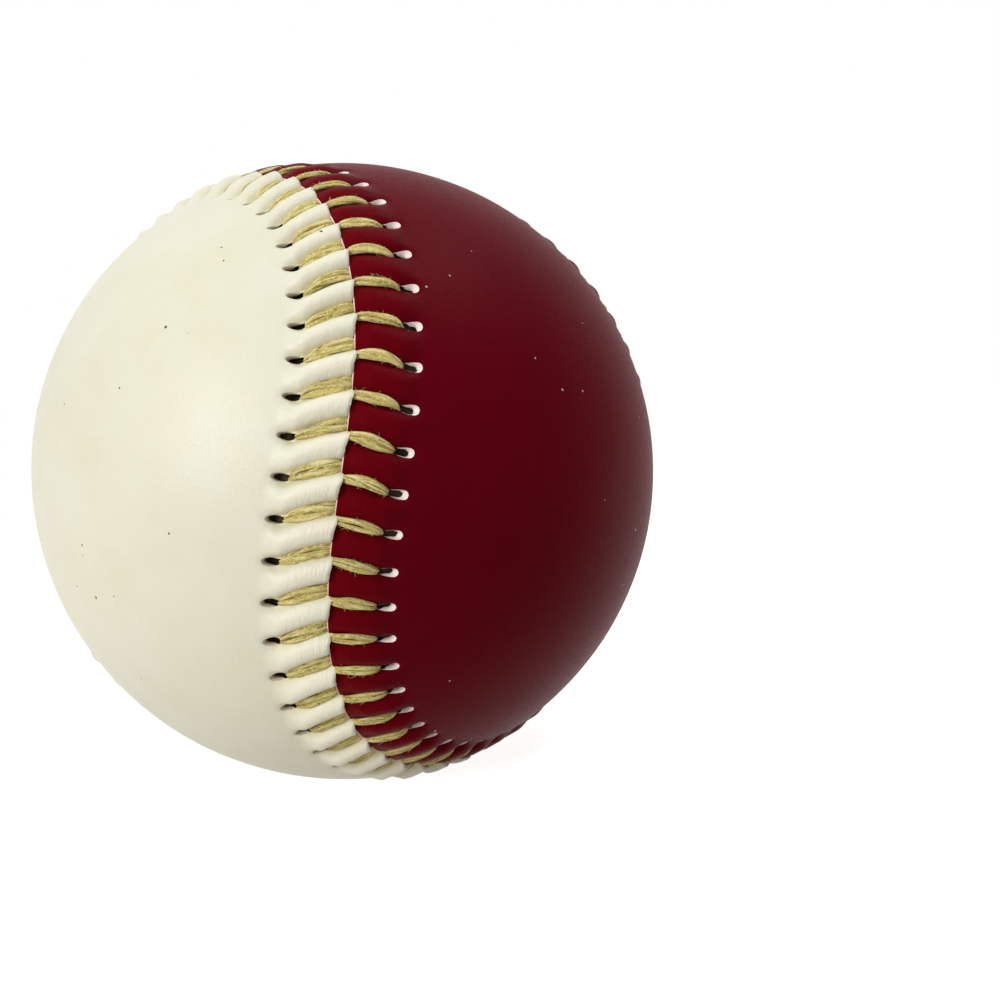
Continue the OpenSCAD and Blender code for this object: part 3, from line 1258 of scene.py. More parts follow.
    def _add_face_net(self, sketch: MeshSketch) -> np.ndarray:
        """Adds the points of the panel's face beside the seam.

        Args:
            sketch: The mesh.

        Returns:
            The points' numbers in rows by columns.
        """
        reaches = (*self.edge_reaches, *self.slot_reaches, *self.outer_reaches)
        stitch, plain_offset, plain_reach = self._net(reaches)
        offset, reach, rim = self.hole.round_off(plain_offset, plain_reach)
        height, swell = self._height(stitch, offset, reach, rim)
        edge = self._edge(stitch, offset) * ease(reach, *self.edge_band)
        stations = self._stations(stitch, offset, reach)
        aims = self.seam.aims(stations, self.side.value * (reach + edge))
        height = height + self._unevenness(aims)
        # Painted shade: the depth mark is high in the grooves beside the slots, where the leather's colour
        # darkens.
        depth = (1.0 - swell) * ease(reach, *self.groove_shade_band)
        marks = np.stack([stations * self.pitch, reach, depth], axis=-1)
        self.corner = (stitch[0], offset[0], edge[0], height[0])
        self.face_places = (stitch, offset, reach, height)
        return sketch.add_points(self._spot(aims, height), marks)

    def _add_base_net(self, sketch: MeshSketch) -> np.ndarray:
        """Adds the points of the panel's underside beside the seam.

        Args:
            sketch: The mesh.

        Returns:
            The points' numbers in rows by columns.
        """
        reaches = (*self.under_edge_reaches, *self.slot_reaches, *self.under_outer_reaches)
        stitch, plain_offset, plain_reach = self._net(reaches)
        offset, reach, _ = self.hole.round_off(plain_offset, plain_reach)
        edge = np.maximum(self._edge(stitch, offset), self.under_gap)
        edge = np.where(plain_reach < self.under_edge_reaches[1], edge, 0.0)
        stations = self._stations(stitch, offset, reach)
        aims = self.seam.aims(stations, self.side.value * (reach - self.hole.slope(reach) + edge))
        # The underside's depth mark is one, so the walls of the slots and of the cut edge reach full
        # painted shade where they meet it.
        marks = np.stack([stations * self.pitch, reach, np.ones_like(reach)], axis=-1)
        return sketch.add_points(self._spot(aims, self._base_height(reach)), marks)

    def _in_slot(self, first_row: int, rows: int) -> np.ndarray:
        """Finds the faces of a net that lie in a slot.

        Args:
            first_row: Row of the net where the slots begin.
            rows: Rows of faces in the net.

        Returns:
            Truth values of face rows by columns.
        """
        start, end = self.slot_columns
        column = np.arange(len(self.offsets))
        columns = np.tile((column >= start) & (column < end), self.seam.stitch_count)
        last_row = first_row + len(self.slot_reaches) - 1
        in_rows = (np.arange(rows) >= first_row) & (np.arange(rows) < last_row)
        return in_rows[:, None] & columns[None, :]

    def _add_net_faces(self, sketch: MeshSketch, numbers: np.ndarray, first_row: int) -> None:
        """Adds the faces of a net, without those in the slots.

        Args:
            sketch: The mesh.
            numbers: Point numbers of the net.
            first_row: Row of the net where the slots begin.
        """
        beside = np.roll(numbers, -1, axis=1)
        corners = np.stack([numbers[:-1], beside[:-1], beside[1:], numbers[1:]], axis=-1)
        sketch.add_faces(corners[~self._in_slot(first_row, len(numbers) - 1)])

    def _slot_rings(self, numbers: np.ndarray, first_row: int) -> np.ndarray:
        """Walks round every slot of a net.

        Args:
            numbers: Point numbers of the net.
            first_row: Row of the net where the slots begin.

        Returns:
            The point numbers round the slots, one row for each slot.
        """
        start, end = self.slot_columns
        last_row = first_row + len(self.slot_reaches) - 1
        walk = [(first_row, c) for c in range(start, end)]
        walk += [(r, end) for r in range(first_row, last_row)]
        walk += [(last_row, c) for c in range(end, start, -1)]
        walk += [(r, start) for r in range(last_row, first_row, -1)]
        rows, columns = np.array(walk).T
        first_columns = np.arange(self.seam.stitch_count) * len(self.offsets)
        return numbers[rows[None, :], first_columns[:, None] + columns[None, :]]

    def _add_slot_walls(self, sketch: MeshSketch, top: np.ndarray, bottom: np.ndarray) -> None:
        """Adds the punched walls of every slot, with depth marks that set their painted shade.

        Args:
            sketch: The mesh.
            top: Point numbers round the slots on the face.
            bottom: Point numbers round the slots on the underside.
        """
        chance = np.random.default_rng(self.seed + 1)
        stitch, offset, reach, height = (values.ravel()[top] for values in self.face_places)
        # Painted shade: the depth marks grow towards the thread's end of the slot, so the dark shade colour
        # comes higher up the walls there.
        shade_start, shade_end = (self.hole.reach + beyond for beyond in self.thread_shade_span)
        shade_gain = 1.0 + self.thread_shade * ease(reach, shade_start, shade_end)
        floor = self._base_height(reach)
        rings = [top]
        for depth, side, far in self.hole.steps:
            fray = chance.uniform(1.0 - self.fray, 1.0 + self.fray, stitch.shape)
            new_offset, new_reach = self.hole.inset(offset, reach, side, far)
            new_offset = offset + (new_offset - offset) * fray
            new_reach = reach + (new_reach - reach) * fray
            stations = self._stations(stitch, new_offset, new_reach)
            aims = self.seam.aims(stations, self.side.value * new_reach)
            marks = np.stack([new_offset, new_reach, depth * shade_gain], axis=-1)
            rings.append(sketch.add_points(self._spot(aims, height + (floor - height) * depth), marks))
        sketch.add_wall([*rings, bottom], 1)

    def _add_edge_wall(self, sketch: MeshSketch, top: np.ndarray, bottom: np.ndarray) -> None:
        """Adds the cut edge along the seam.

        Args:
            sketch: The mesh.
            top: Point numbers along the edge of the face.
            bottom: Point numbers along the edge of the underside.
        """
        stitch, offset, edge, height = self.corner
        chance = np.random.default_rng(self.seed + 2)
        swell = self._swell(offset)
        stations = self._stations(stitch, offset, np.zeros_like(offset))
        room = height - self.lifted_base
        rings = [top]
        for share, depth, lean in self.edge_profile:
            low = height - np.minimum(depth, share * room)
            back = edge - lean * swell + chance.uniform(-self.edge_fray, self.edge_fray, edge.shape)
            if lean < 0.0:
                back = np.maximum(back, self.edge_gap)
            aims = self.seam.aims(stations, self.side.value * back)
            # Painted shade: the depth marks grow down the cut edge, and its colour darkens with them
            # towards the underside.
            depth_mark = np.full_like(swell, self.edge_shade_mark * share)
            marks = np.stack([stations * self.pitch, np.zeros_like(offset), depth_mark], axis=-1)
            rings.append(sketch.add_points(self._spot(aims, low), marks))
        sketch.add_wall([*rings, bottom], 1)

    def _inner_rings(self) -> list[np.ndarray]:
        """Lays out two closed rings inside the band, each half as fine as the one outside it.

        Returns:
            The directions of their points.
        """
        rings = []
        for step, reach in zip((2, 4), self.ring_reaches):
            stitch = np.repeat(np.arange(self.seam.stitch_count), len(self.offsets) // step)
            offset = np.tile(self.offsets[::step], self.seam.stitch_count)
            stations = stitch + offset / self.pitch
            rings.append(self.seam.aims(stations, np.full(stations.shape, self.side.value * reach)))
        return rings

    def _even_points(self) -> np.ndarray:
        """Spreads points evenly over the part of the ball inside the inner ring.

        Returns:
            Directions of the points.
        """
        area = TRIANGLE_HEIGHT * self.fill_spacing ** 2
        count = int(4.0 * math.pi * self.seam.ball_radius ** 2 / area)
        number = np.arange(count) + 0.5
        tall = 1.0 - 2.0 * number / count
        round_about = number * math.pi * (1.0 + math.sqrt(5.0))
        wide = np.sqrt(1.0 - tall * tall)
        points = np.stack([wide * np.cos(round_about), wide * np.sin(round_about), tall], axis=-1)
        stations = np.linspace(0.0, self.seam.stitch_count, self.fill_probes, endpoint=False)
        out, _, across = self.seam.headings(stations)
        closeness = points @ out.T
        nearest = closeness.argmax(axis=1)
        distance = np.arccos(np.clip(closeness.max(axis=1), -1.0, 1.0)) * self.seam.ball_radius
        inside = np.sum(points * across[nearest], axis=-1) * self.side.value > 0.0
        return points[inside & (distance > self.ring_reaches[1] + self.fill_gap * self.fill_spacing)]

    def _fill(self, ring: np.ndarray) -> tuple[np.ndarray, np.ndarray]:
        """Fills the panel inside a ring with an even net of triangles.

        The net is laid out on a plane, seen from the pole that the panel doesn't reach.

        Args:
            ring: Directions of the ring's points.

        Returns:
            Directions of the new points, and faces that number the ring's points first.
        """
        points = self._even_points()
        pole = float(self.side.value)
        together = np.concatenate([ring, points])
        flat = together[:, :2] / (1.0 - pole * together[:, 2:3])
        loop = list(range(len(ring)))
        result = delaunay_2d_cdt([Vector(p) for p in flat], [], [loop], 1, SAME_PLACE)
        origin = [olds[0] for olds in result[3]]
        return points, np.array([[origin[v] for v in face] for face in result[2]])

    def _add_middle(self, sketch: MeshSketch, face_edge: np.ndarray, under_edge: np.ndarray) -> None:
        """Adds both faces of the panel inside the band beside the seam.

        Args:
            sketch: The mesh.
            face_edge: Point numbers of the face's last row.
            under_edge: Point numbers of the underside's last row.
        """
        rings = self._inner_rings()
        middle, faces = self._fill(rings[1])
        for outer, height in ((face_edge, None), (under_edge, self.base)):
            fine = outer
            for ring in (*rings, middle):
                level = self._unevenness(ring) if height is None else np.full(len(ring), height)
                marks = np.tile(self.plain_mark, (len(ring), 1))
                numbers = sketch.add_points(self._spot(ring, level), marks)
                if ring is middle:
                    sketch.add_faces(np.concatenate([fine, numbers])[faces])
                else:
                    sketch.add_halving_strip(fine, numbers)
                fine = numbers

    def build(self) -> bpy.types.Object:
        """Makes the panel and puts it in place of its CAD node.

        Returns:
            The panel.
        """
        sketch = MeshSketch()
        face = self._add_face_net(sketch)
        under = self._add_base_net(sketch)
        face_row = len(self.edge_reaches)
        under_row = len(self.under_edge_reaches)
        self._add_net_faces(sketch, face, face_row)
        self._add_net_faces(sketch, under, under_row)
        self._add_slot_walls(sketch, self._slot_rings(face, face_row), self._slot_rings(under, under_row))
        self._add_edge_wall(sketch, face[0], under[0])
        self._add_middle(sketch, face[-1], under[-1])
        finishes = [self.leather.build(), self.raw.build()]
        piece = sketch.make(self.node + "_leather", finishes, LACE_MARKS, self.crease)
        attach(piece, BODY)
        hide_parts(self.node)
        return piece


@dataclass(frozen=True)
class HalfStitch:
    """The way of the thread from its hole over the leather, down the seam and on to the next hole.

    Attributes:
        side: Panel that the half stitch lies on.
        lean_share: How far it leans along the seam, as a share of the pitch.
        bed: Height of the leather under it.
        arch: How far its middle rises more.
        bulge: How far its middle bows towards the stitch before, as a share of the pitch.
        widths: Widths at the seam, at the widest place and at the hole.
        widest: Reach of the widest place.
        thickness: Thickness of the thread on the leather.
        post_reach: Reach at which it comes up through its hole.
        under_height: Height of its middle under the leather.
        bend_gap: How far from the post it bends over the rim.
        over_rings: Rings on the leather.
        over_start: How far from the bend the first of them lies.
        over_end: Reach of the last of them.
        hole_sink: How far it sinks into the hole.
        hole_sink_span: Distances from the bend at which the sinking starts and is full.
        seam_sink: How far it sinks towards the seam.
        seam_sink_start: Reach at which that sinking starts.
    """

    side: PanelSide
    lean_share: float
    bed: float
    arch: float
    bulge: float
    widths: Triple
    widest: float
    thickness: float = 0.58
    post_reach: float = 4.68
    under_height: float = -0.88
    bend_gap: float = 0.03
    over_rings: int = 15
    over_start: float = 0.25
    over_end: float = 0.45
    hole_sink: float = 0.26
    hole_sink_span: Pair = (1.15, 0.15)
    seam_sink: float = 0.10
    seam_sink_start: float = 1.1

    def _over(self) -> np.ndarray:
        """Lays out the rings on the leather.

        Returns:
            Rows as rings gives them, with reaches above zero.
        """
        seam_width, wide, hole_width = self.widths
        top = self.post_reach - self.bend_gap
        reach = np.linspace(top - self.over_start, self.over_end, self.over_rings)
        arc = np.sin(math.pi * reach / ARCH_END)
        lean = -self.lean_share * lean_left(reach) - self.bulge * arc
        sink_start, sink_end = (top - distance for distance in self.hole_sink_span)
        level = self.bed + 0.5 * self.thickness + self.arch * arc
        level -= self.hole_sink * ease(reach, sink_start, sink_end)
        level -= self.seam_sink * ease(reach, self.seam_sink_start, self.over_end)
        closeness = np.clip((top - reach) / (top - self.widest), 0.0, 1.0)
        towards_hole = hole_width + (wide - hole_width) * (1.0 - (1.0 - closeness) ** 2)
        towards_seam = seam_width + (wide - seam_width) * ease(reach, 0.0, self.widest)
        width = np.where(reach > self.widest, towards_hole, towards_seam)
        thickness = np.full_like(reach, self.thickness)
        return np.stack([lean, reach, level, width, thickness, np.ones_like(reach)], axis=-1)

    def rings(self) -> np.ndarray:
        """Lays out the rings of the half stitch.

        Returns:
            Rows of station, signed reach, height, width, thickness and 1 where it shows.
        """
        seam_width, _, hole_width = self.widths
        over = self._over()
        dive = -self.lean_share
        turn = -0.5 * (self.lean_share + 1.0)
        start = [
            (0.0, self.post_reach, self.under_height + 0.02, 0.6, 0.55, 0.0),
            (0.0, self.post_reach, -0.55, 0.5, 0.5, 0.0),
            (0.0, self.post_reach - 0.05, self.bed - 0.05, hole_width, 0.46, 1.0),
        ]
        end = [
            (dive, 0.26, over[-1, 2] - 0.12, seam_width, 0.55, 1.0),
            (dive, 0.15, -0.45, 0.8, 0.5, 0.0),
            (dive - 0.02, -0.3, self.under_height + 0.02, 0.75, 0.55, 0.0),
            (0.5 * (dive + turn), -1.4, self.under_height, 0.8, 0.6, 0.0),
            (0.5 * (turn - 1.0), -3.2, self.under_height, 0.8, 0.6, 0.0),
            (-0.98, -4.35, self.under_height, 0.75, 0.6, 0.0),
        ]
        rings = np.concatenate([np.array(start), over, np.array(end)])
        rings[:, 1] *= self.side.value
        return rings


@dataclass(frozen=True)
class Bundle:
    """The middle line of a run of thread, with three directions at each ring.

    Attributes:
        middle: Points of the line.
        forward: Directions along the thread.
        beside: Directions along the seam, square to the thread.
        upward: Directions square to both.
        length: Length of thread behind each point.
    """

    middle: np.ndarray
    forward: np.ndarray
    beside: np.ndarray
    upward: np.ndarray
    length: np.ndarray


@dataclass
class SeamThread:
    """One run of the sewing thread, laid up of plies, with stray fibres.

    Its marks are the place along the ply, the place round it and a number for each ply.

    Attributes:
        node: CAD node that the run stands for.
        first_side: Panel of its first half stitch.
        seam: The seam line.
        white_half: Half stitch on the white panel.
        red_half: Half stitch on the red panel.
        finish: Its finish.
        seed: Start of the random numbers.
        width_range: Least and greatest share by which a half stitch is wider than drawn.
        rise: How far a half stitch lies higher or lower than drawn.
        bow: How far it bows to one side, in stations.
        smoothings: Times that the run's rings are evened out.
        plies: Plies laid side by side.
        ply_sides: Sides of a ply.
        lay_length: Length of one turn of the plies.
        wander_rings: Rings from one chance change of the lay to the next.
        wander: Greatest chance change of the lay, in radians.
        ply_places: How far a ply's middle lies aside and above, as shares of the bundle's size.
        ply_halves: Half width and half thickness of a ply, as shares of the bundle's size.
        swelling: How far a ply swells and shrinks along its length, as a share.
        swelling_rates: Radians of the swelling to a millimetre and from one ply to the next.
        ply_marks: Marks from one side of a ply to the other, to a radian of its turn, and to a ply.
        hairs: Stray fibres on each half stitch.
        hair_sides: Sides of a stray fibre.
        hair_place: Place of their roots, as a share of the bundle's size from its middle.
        hair_tilts: Least and greatest angle of the root from the thread's edge, in radians.
        hair_lead: How far it may point along the thread, against how far it points aside.
        hair_lift: How far it may point away from the ball.
        hair_bend: How far it may bend.
        hair_droop: How far it bends back to the ball.
        hair_sizes: Length of the shortest and how much longer the longest may be.
        hair_radius: Radius of a stray fibre at its root.
        hair_taper: Shares of that radius at its root, its middle and its tip.
        hair_marks: Greatest place mark of a stray fibre, and its number.
        crease: Angle in degrees from which an edge is shaded sharp.
    """

    node: str
    first_side: PanelSide
    seam: SeamLine
    white_half: HalfStitch
    red_half: HalfStitch
    finish: WaxedThread
    seed: int
    width_range: Pair = (-0.10, 0.08)
    rise: float = 0.03
    bow: float = 0.018
    smoothings: int = 2
    plies: int = 3
    ply_sides: int = 8
    lay_length: float = 19.0
    wander_rings: int = 40
    wander: float = 0.5
    ply_places: Pair = (0.31, 0.20)
    ply_halves: Pair = (0.22, 0.32)
    swelling: float = 0.06
    swelling_rates: Pair = (0.9, 2.1)
    ply_marks: Triple = (1.1, 0.25, 7.3)
    hairs: int = 40
    hair_sides: int = 3
    hair_place: float = 0.46
    hair_tilts: Pair = (0.1, 1.3)
    hair_lead: float = 1.6
    hair_lift: float = 0.45
    hair_bend: float = 0.5
    hair_droop: float = 0.35
    hair_sizes: Pair = (0.10, 0.42)
    hair_radius: float = 0.018
    hair_taper: Triple = (1.0, 0.8, 0.35)
    hair_marks: Pair = (900.0, 31.0)
    crease: float = 70.0

    def _way(self, chance: np.random.Generator) -> np.ndarray:
        """Lays out the whole run, with the small differences between stitches.

        Args:
            chance: Source of random numbers.

        Returns:
            Rows as HalfStitch.rings gives them, with full stations.
        """
        parts = []
        side = self.first_side
        for number in range(self.seam.stitch_count):
            half = self.white_half if side is PanelSide.WHITE else self.red_half
            rings = half.rings()
            shows = rings[:, 5]
            rings[:, 0] -= number
            rings[:, 3] *= 1.0 + shows * chance.uniform(*self.width_range)
            rings[:, 2] += shows * chance.uniform(-self.rise, self.rise)
            arc = np.sin(math.pi * np.clip(np.abs(rings[:, 1]) / ARCH_END, 0.0, 1.0))
            rings[:, 0] += shows * arc * chance.uniform(-self.bow, self.bow)
            parts.append(rings)
            side = side.facing
        way = np.concatenate(parts)
        for _ in range(self.smoothings):
            way[1:-1, :5] = 0.25 * way[:-2, :5] + 0.5 * way[1:-1, :5] + 0.25 * way[2:, :5]
        return way

    def _bundle(self, way: np.ndarray) -> Bundle:
        """Finds the middle line of the run.

        Args:
            way: Rings of the run.

        Returns:
            The middle line with its directions.
        """
        aims = self.seam.aims(way[:, 0], way[:, 1])
        middle = aims * (self.seam.ball_radius + way[:, 2])[:, None]
        forward = unit(np.gradient(middle, axis=0))
        along = self.seam.headings(way[:, 0])[1]
        beside = unit(along - forward * np.sum(along * forward, axis=-1, keepdims=True))
        steps = np.linalg.norm(np.diff(middle, axis=0), axis=-1)
        length = np.concatenate([[0.0], np.cumsum(steps)])
        return Bundle(middle, forward, beside, np.cross(forward, beside), length)

    def _add_ply(self, sketch: MeshSketch, way: np.ndarray, bundle: Bundle, number: int,
                 chance: np.random.Generator) -> None:
        """Adds one ply as a closed tube.

        Args:
            sketch: The mesh.
            way: Rings of the run.
            bundle: The run's middle line.
            number: Number of the ply.
            chance: Source of random numbers.
        """
        knots = np.arange(0, len(way) + self.wander_rings, self.wander_rings)
        changes = chance.uniform(-self.wander, self.wander, len(knots))
        wander = np.interp(np.arange(len(way)), knots, changes)
        turn = 2.0 * math.pi * (bundle.length / self.lay_length + number / self.plies) + wander
        width, thickness = way[:, 3], way[:, 4]
        place_aside, place_above = self.ply_places
        aside = (place_aside * width * np.cos(turn))[:, None] * bundle.beside
        above = (place_above * thickness * np.sin(turn))[:, None] * bundle.upward
        middle = bundle.middle + aside + above
        around = 2.0 * math.pi * np.arange(self.ply_sides) / self.ply_sides
        along_rate, ply_rate = self.swelling_rates
        fullness = 1.0 + self.swelling * np.sin(along_rate * bundle.length + ply_rate * number)
        half_wide, half_tall = self.ply_halves
        wide = (half_wide * width * fullness)[:, None, None] * np.cos(around)[None, :, None]
        tall = (half_tall * thickness * fullness)[:, None, None] * np.sin(around)[None, :, None]
        ring = middle[:, None, :] + wide * bundle.beside[:, None, :] + tall * bundle.upward[:, None, :]
        half_sides = 0.5 * self.ply_sides
        round_about = np.abs(np.arange(self.ply_sides) - half_sides) / half_sides
        round_mark, turn_mark, ply_mark = self.ply_marks
        marks = np.empty(ring.shape)
        marks[..., 0] = bundle.length[:, None]
        marks[..., 1] = round_mark * round_about[None, :] + turn_mark * turn[:, None]
        marks[..., 2] = ply_mark * number
        numbers = sketch.add_points(ring, marks)
        sketch.add_strip(numbers[:-1], numbers[1:])
        for end in (0, -1):
            sketch.add_faces(numbers[end][None, :])

    def _hair_lines(self, way: np.ndarray, bundle: Bundle,
                    chance: np.random.Generator) -> tuple[np.ndarray, np.ndarray, np.ndarray]:
        """Draws the middle lines of the stray fibres.

        Args:
            way: Rings of the run.
            bundle: The run's middle line.
            chance: Source of random numbers.

        Returns:
            Three points for each fibre, and two directions square to it.
        """
        showing = np.flatnonzero(way[:, 5] > 0.5)
        count = self.hairs * self.seam.stitch_count
        root = chance.choice(showing, count)
        edge = chance.choice([-1.0, 1.0], count)
        tilt = chance.uniform(*self.hair_tilts, count)
        beside, upward, forward = bundle.beside[root], bundle.upward[root], bundle.forward[root]
        outward = unit(bundle.middle[root])
        face = np.sign(np.sum(upward * outward, axis=-1))
        aside = self.hair_place * way[root, 3] * np.cos(tilt) * edge
        above = self.hair_place * way[root, 4] * np.sin(tilt) * face
        start = bundle.middle[root] + aside[:, None] * beside + above[:, None] * upward
        lead = (edge * np.cos(tilt))[:, None] * beside
        lead = lead + chance.uniform(-self.hair_lead, self.hair_lead, (count, 1)) * forward
        lead = unit(lead + chance.uniform(0.0, self.hair_lift, (count, 1)) * outward)
        bend = chance.normal(0.0, self.hair_bend, (count, 3)) - self.hair_droop * outward
        shortest, longer = self.hair_sizes
        size = shortest + longer * chance.uniform(0.0, 1.0, count) ** 3
        steps = np.linspace(0.0, 1.0, len(self.hair_taper))[None, :, None]
        path = steps * lead[:, None, :] + 0.5 * steps ** 2 * bend[:, None, :]
        first = unit(np.cross(lead, outward))
        return start[:, None, :] + size[:, None, None] * path, first, unit(np.cross(lead, first))

    def _add_hairs(self, sketch: MeshSketch, way: np.ndarray, bundle: Bundle,
                   chance: np.random.Generator) -> None:
        """Adds stray fibres along the edges of the half stitches.

        Args:
            sketch: The mesh.
            way: Rings of the run.
            bundle: The run's middle line.
            chance: Source of random numbers.
        """
        line, first, second = self._hair_lines(way, bundle, chance)
        count = len(line)
        around = (2.0 * math.pi * np.arange(self.hair_sides) / self.hair_sides)[None, None, :, None]
        thin = (self.hair_radius * np.array(self.hair_taper))[None, :, None, None]
        side = np.cos(around) * first[:, None, None, :] + np.sin(around) * second[:, None, None, :]
        ring = line[:, :, None, :] + thin * side
        farthest, hair_mark = self.hair_marks
        marks = np.empty(ring.shape)
        marks[..., 0] = chance.uniform(0.0, farthest, (count, 1, 1))
        marks[..., 1] = chance.uniform(0.0, 1.0, (count, 1, 1))
        marks[..., 2] = hair_mark
        numbers = sketch.add_points(ring, marks)
        sketch.add_strip(numbers[:, :-1], numbers[:, 1:])
        for end in (0, -1):
            sketch.add_faces(numbers[:, end])

    def build(self) -> bpy.types.Object:
        """Makes the run and puts it in place of its CAD node.

        Returns:
            The thread.
        """
        chance = np.random.default_rng(self.seed)
        way = self._way(chance)
        bundle = self._bundle(way)
        sketch = MeshSketch()
        for number in range(self.plies):
            self._add_ply(sketch, way, bundle, number, chance)
        self._add_hairs(sketch, way, bundle, chance)
        piece = sketch.make(self.node + "_plies", [self.finish.build()], FIBRE_MARKS, self.crease)
        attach(piece, BODY)
        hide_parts(self.node)
        return piece


@dataclass(frozen=True)
class SoftLamp:
    """A large soft lamp aimed at the ball.

    Attributes:
        name: Name of the lamp.
        place: Where it stands.
        size: Side of its square.
        level: Brightness that it alone gives a white sheet at the ball, as a share of full white.
        colour: Colour of its light.
    """

    name: str
    place: Triple
    size: float
    level: float
    colour: Triple

    def build(self) -> None:
        """Makes the lamp."""
        lamp = bpy.data.lights.new(self.name, "AREA")
        lamp.shape = "DISK"
        lamp.size = self.size * MILLIMETRE
        distance = math.hypot(*self.place) * MILLIMETRE
        lamp.energy = self.level * math.pi ** 2 * distance ** 2
        lamp.color = self.colour
        holder = bpy.data.objects.new(self.name, lamp)
        holder.location = Vector(self.place) * MILLIMETRE
        holder.rotation_euler = (-Vector(self.place)).to_track_quat("-Z", "Y").to_euler()
        bpy.context.scene.collection.objects.link(holder)


@dataclass(frozen=True)
class Studio:
    """The pale floor, the even light round about, the lamps and the camera.

    Attributes:
        floor_drop: Height of the floor.
        floor_size: Side of the floor.
        floor_colour: Colour of the floor in the light of the lamps.
        floor_glow: Glow that brings the floor up to white for the eye and keeps the shadow.
        ambient: Strength of the even light.
        camera_place: Where the camera stands.
        camera_look: Direction in which it looks.
        camera_up: Its upward direction.
        camera_lens: Focal length for the film.
        film_width: Width of the film.
        sight: Nearest and farthest distance that the camera sees, in metres.
        lamps: The lamps.
    """

    floor_drop: float = -37.2
    floor_size: float = 60000.0
    floor_colour: Colour = (0.63, 0.6, 0.57, 1.0)
    floor_glow: float = 0.91
    ambient: float = 0.17
    camera_place: Triple = (4.9294, -138.9028, 1.6447)
    camera_look: Triple = (0.0906432, 0.9942097, -0.0577141)
    camera_up: Triple = (0.1678698, 0.0418699, 0.9849196)
    camera_lens: float = 39.589
    film_width: float = 36.0
    sight: Pair = (0.01, 100.0)
    lamps: tuple[SoftLamp, ...] = (
        SoftLamp("front_lamp", (-436.0, -489.0, 262.0), 340.0, 0.645, (1.0, 0.995, 0.98)),
        SoftLamp("top_lamp", (302.0, -101.0, 503.0), 300.0, 0.444, (0.98, 1.0, 0.99)),
    )

    def _white_to_the_eye(self, tree: bpy.types.NodeTree) -> bpy.types.NodeSocket:
        """Tells the rays that show the background from those that light the ball.

        Args:
            tree: The node tree.

        Returns:
            1 for rays of the camera, of reflections and of clear materials, and 0 for others.
        """
        path = tree.nodes.new("ShaderNodeLightPath")
        total = path.outputs["Is Camera Ray"]
        for name in ("Is Glossy Ray", "Is Transmission Ray"):
            higher = tree.nodes.new("ShaderNodeMath")
            higher.operation = "MAXIMUM"
            tree.links.new(total, higher.inputs[0])
            tree.links.new(path.outputs[name], higher.inputs[1])
            total = higher.outputs[0]
        return total

    def _build_world(self) -> None:
        """Makes the even light, which shows as plain white."""
        world = bpy.data.worlds.new("white_room")
        world.use_nodes = True
        tree = world.node_tree
        background = tree.nodes["Background"]
        background.inputs["Color"].default_value = WHITE
        strength = tree.nodes.new("ShaderNodeMapRange")
        strength.inputs["To Min"].default_value = self.ambient
        strength.inputs["To Max"].default_value = 1.0
        tree.links.new(self._white_to_the_eye(tree), strength.inputs["Value"])
        tree.links.new(strength.outputs[0], background.inputs["Strength"])
        bpy.context.scene.world = world

    def _build_floor(self) -> None:
        """Makes the pale floor, which keeps the ball's shadow."""
        half = 0.5 * self.floor_size * MILLIMETRE
        drop = self.floor_drop * MILLIMETRE
        corners = [(-half, -half, drop), (half, -half, drop), (half, half, drop), (-half, half, drop)]
        mesh = bpy.data.meshes.new("floor")
        mesh.from_pydata(corners, [], [(0, 1, 2, 3)])
        bench = NodeBench("pale_floor")
        mesh.materials.append(bench.finish({
            "Base Color": self.floor_colour,
            "Roughness": 1.0,
            "Specular IOR Level": 0.0,
            "Emission Color": WHITE,
            "Emission Strength": bench.combine(self._white_to_the_eye(bench.tree), self.floor_glow),
        }))
        floor = bpy.data.objects.new("floor", mesh)
        bpy.context.scene.collection.objects.link(floor)

    def _build_camera(self) -> None:
        """Makes the camera at the angle of the photograph."""
        look = Vector(self.camera_look).normalized()
        up = Vector(self.camera_up).normalized()
        right = look.cross(up).normalized()
        lens = bpy.data.cameras.new("camera")
        lens.lens = self.camera_lens
        lens.sensor_width = self.film_width
        lens.clip_start, lens.clip_end = self.sight
        camera = bpy.data.objects.new("camera", lens)
        turn = Matrix((right, up, -look)).transposed().to_4x4()
        camera.matrix_world = Matrix.Translation(Vector(self.camera_place) * MILLIMETRE) @ turn
        bpy.context.scene.collection.objects.link(camera)
        bpy.context.scene.camera = camera

    def build(self) -> None:
        """Makes the whole studio."""
        self._build_camera()
        self._build_world()
        self._build_floor()
        for lamp in self.lamps:
            lamp.build()
        bpy.context.scene.view_settings.view_transform = "Standard"


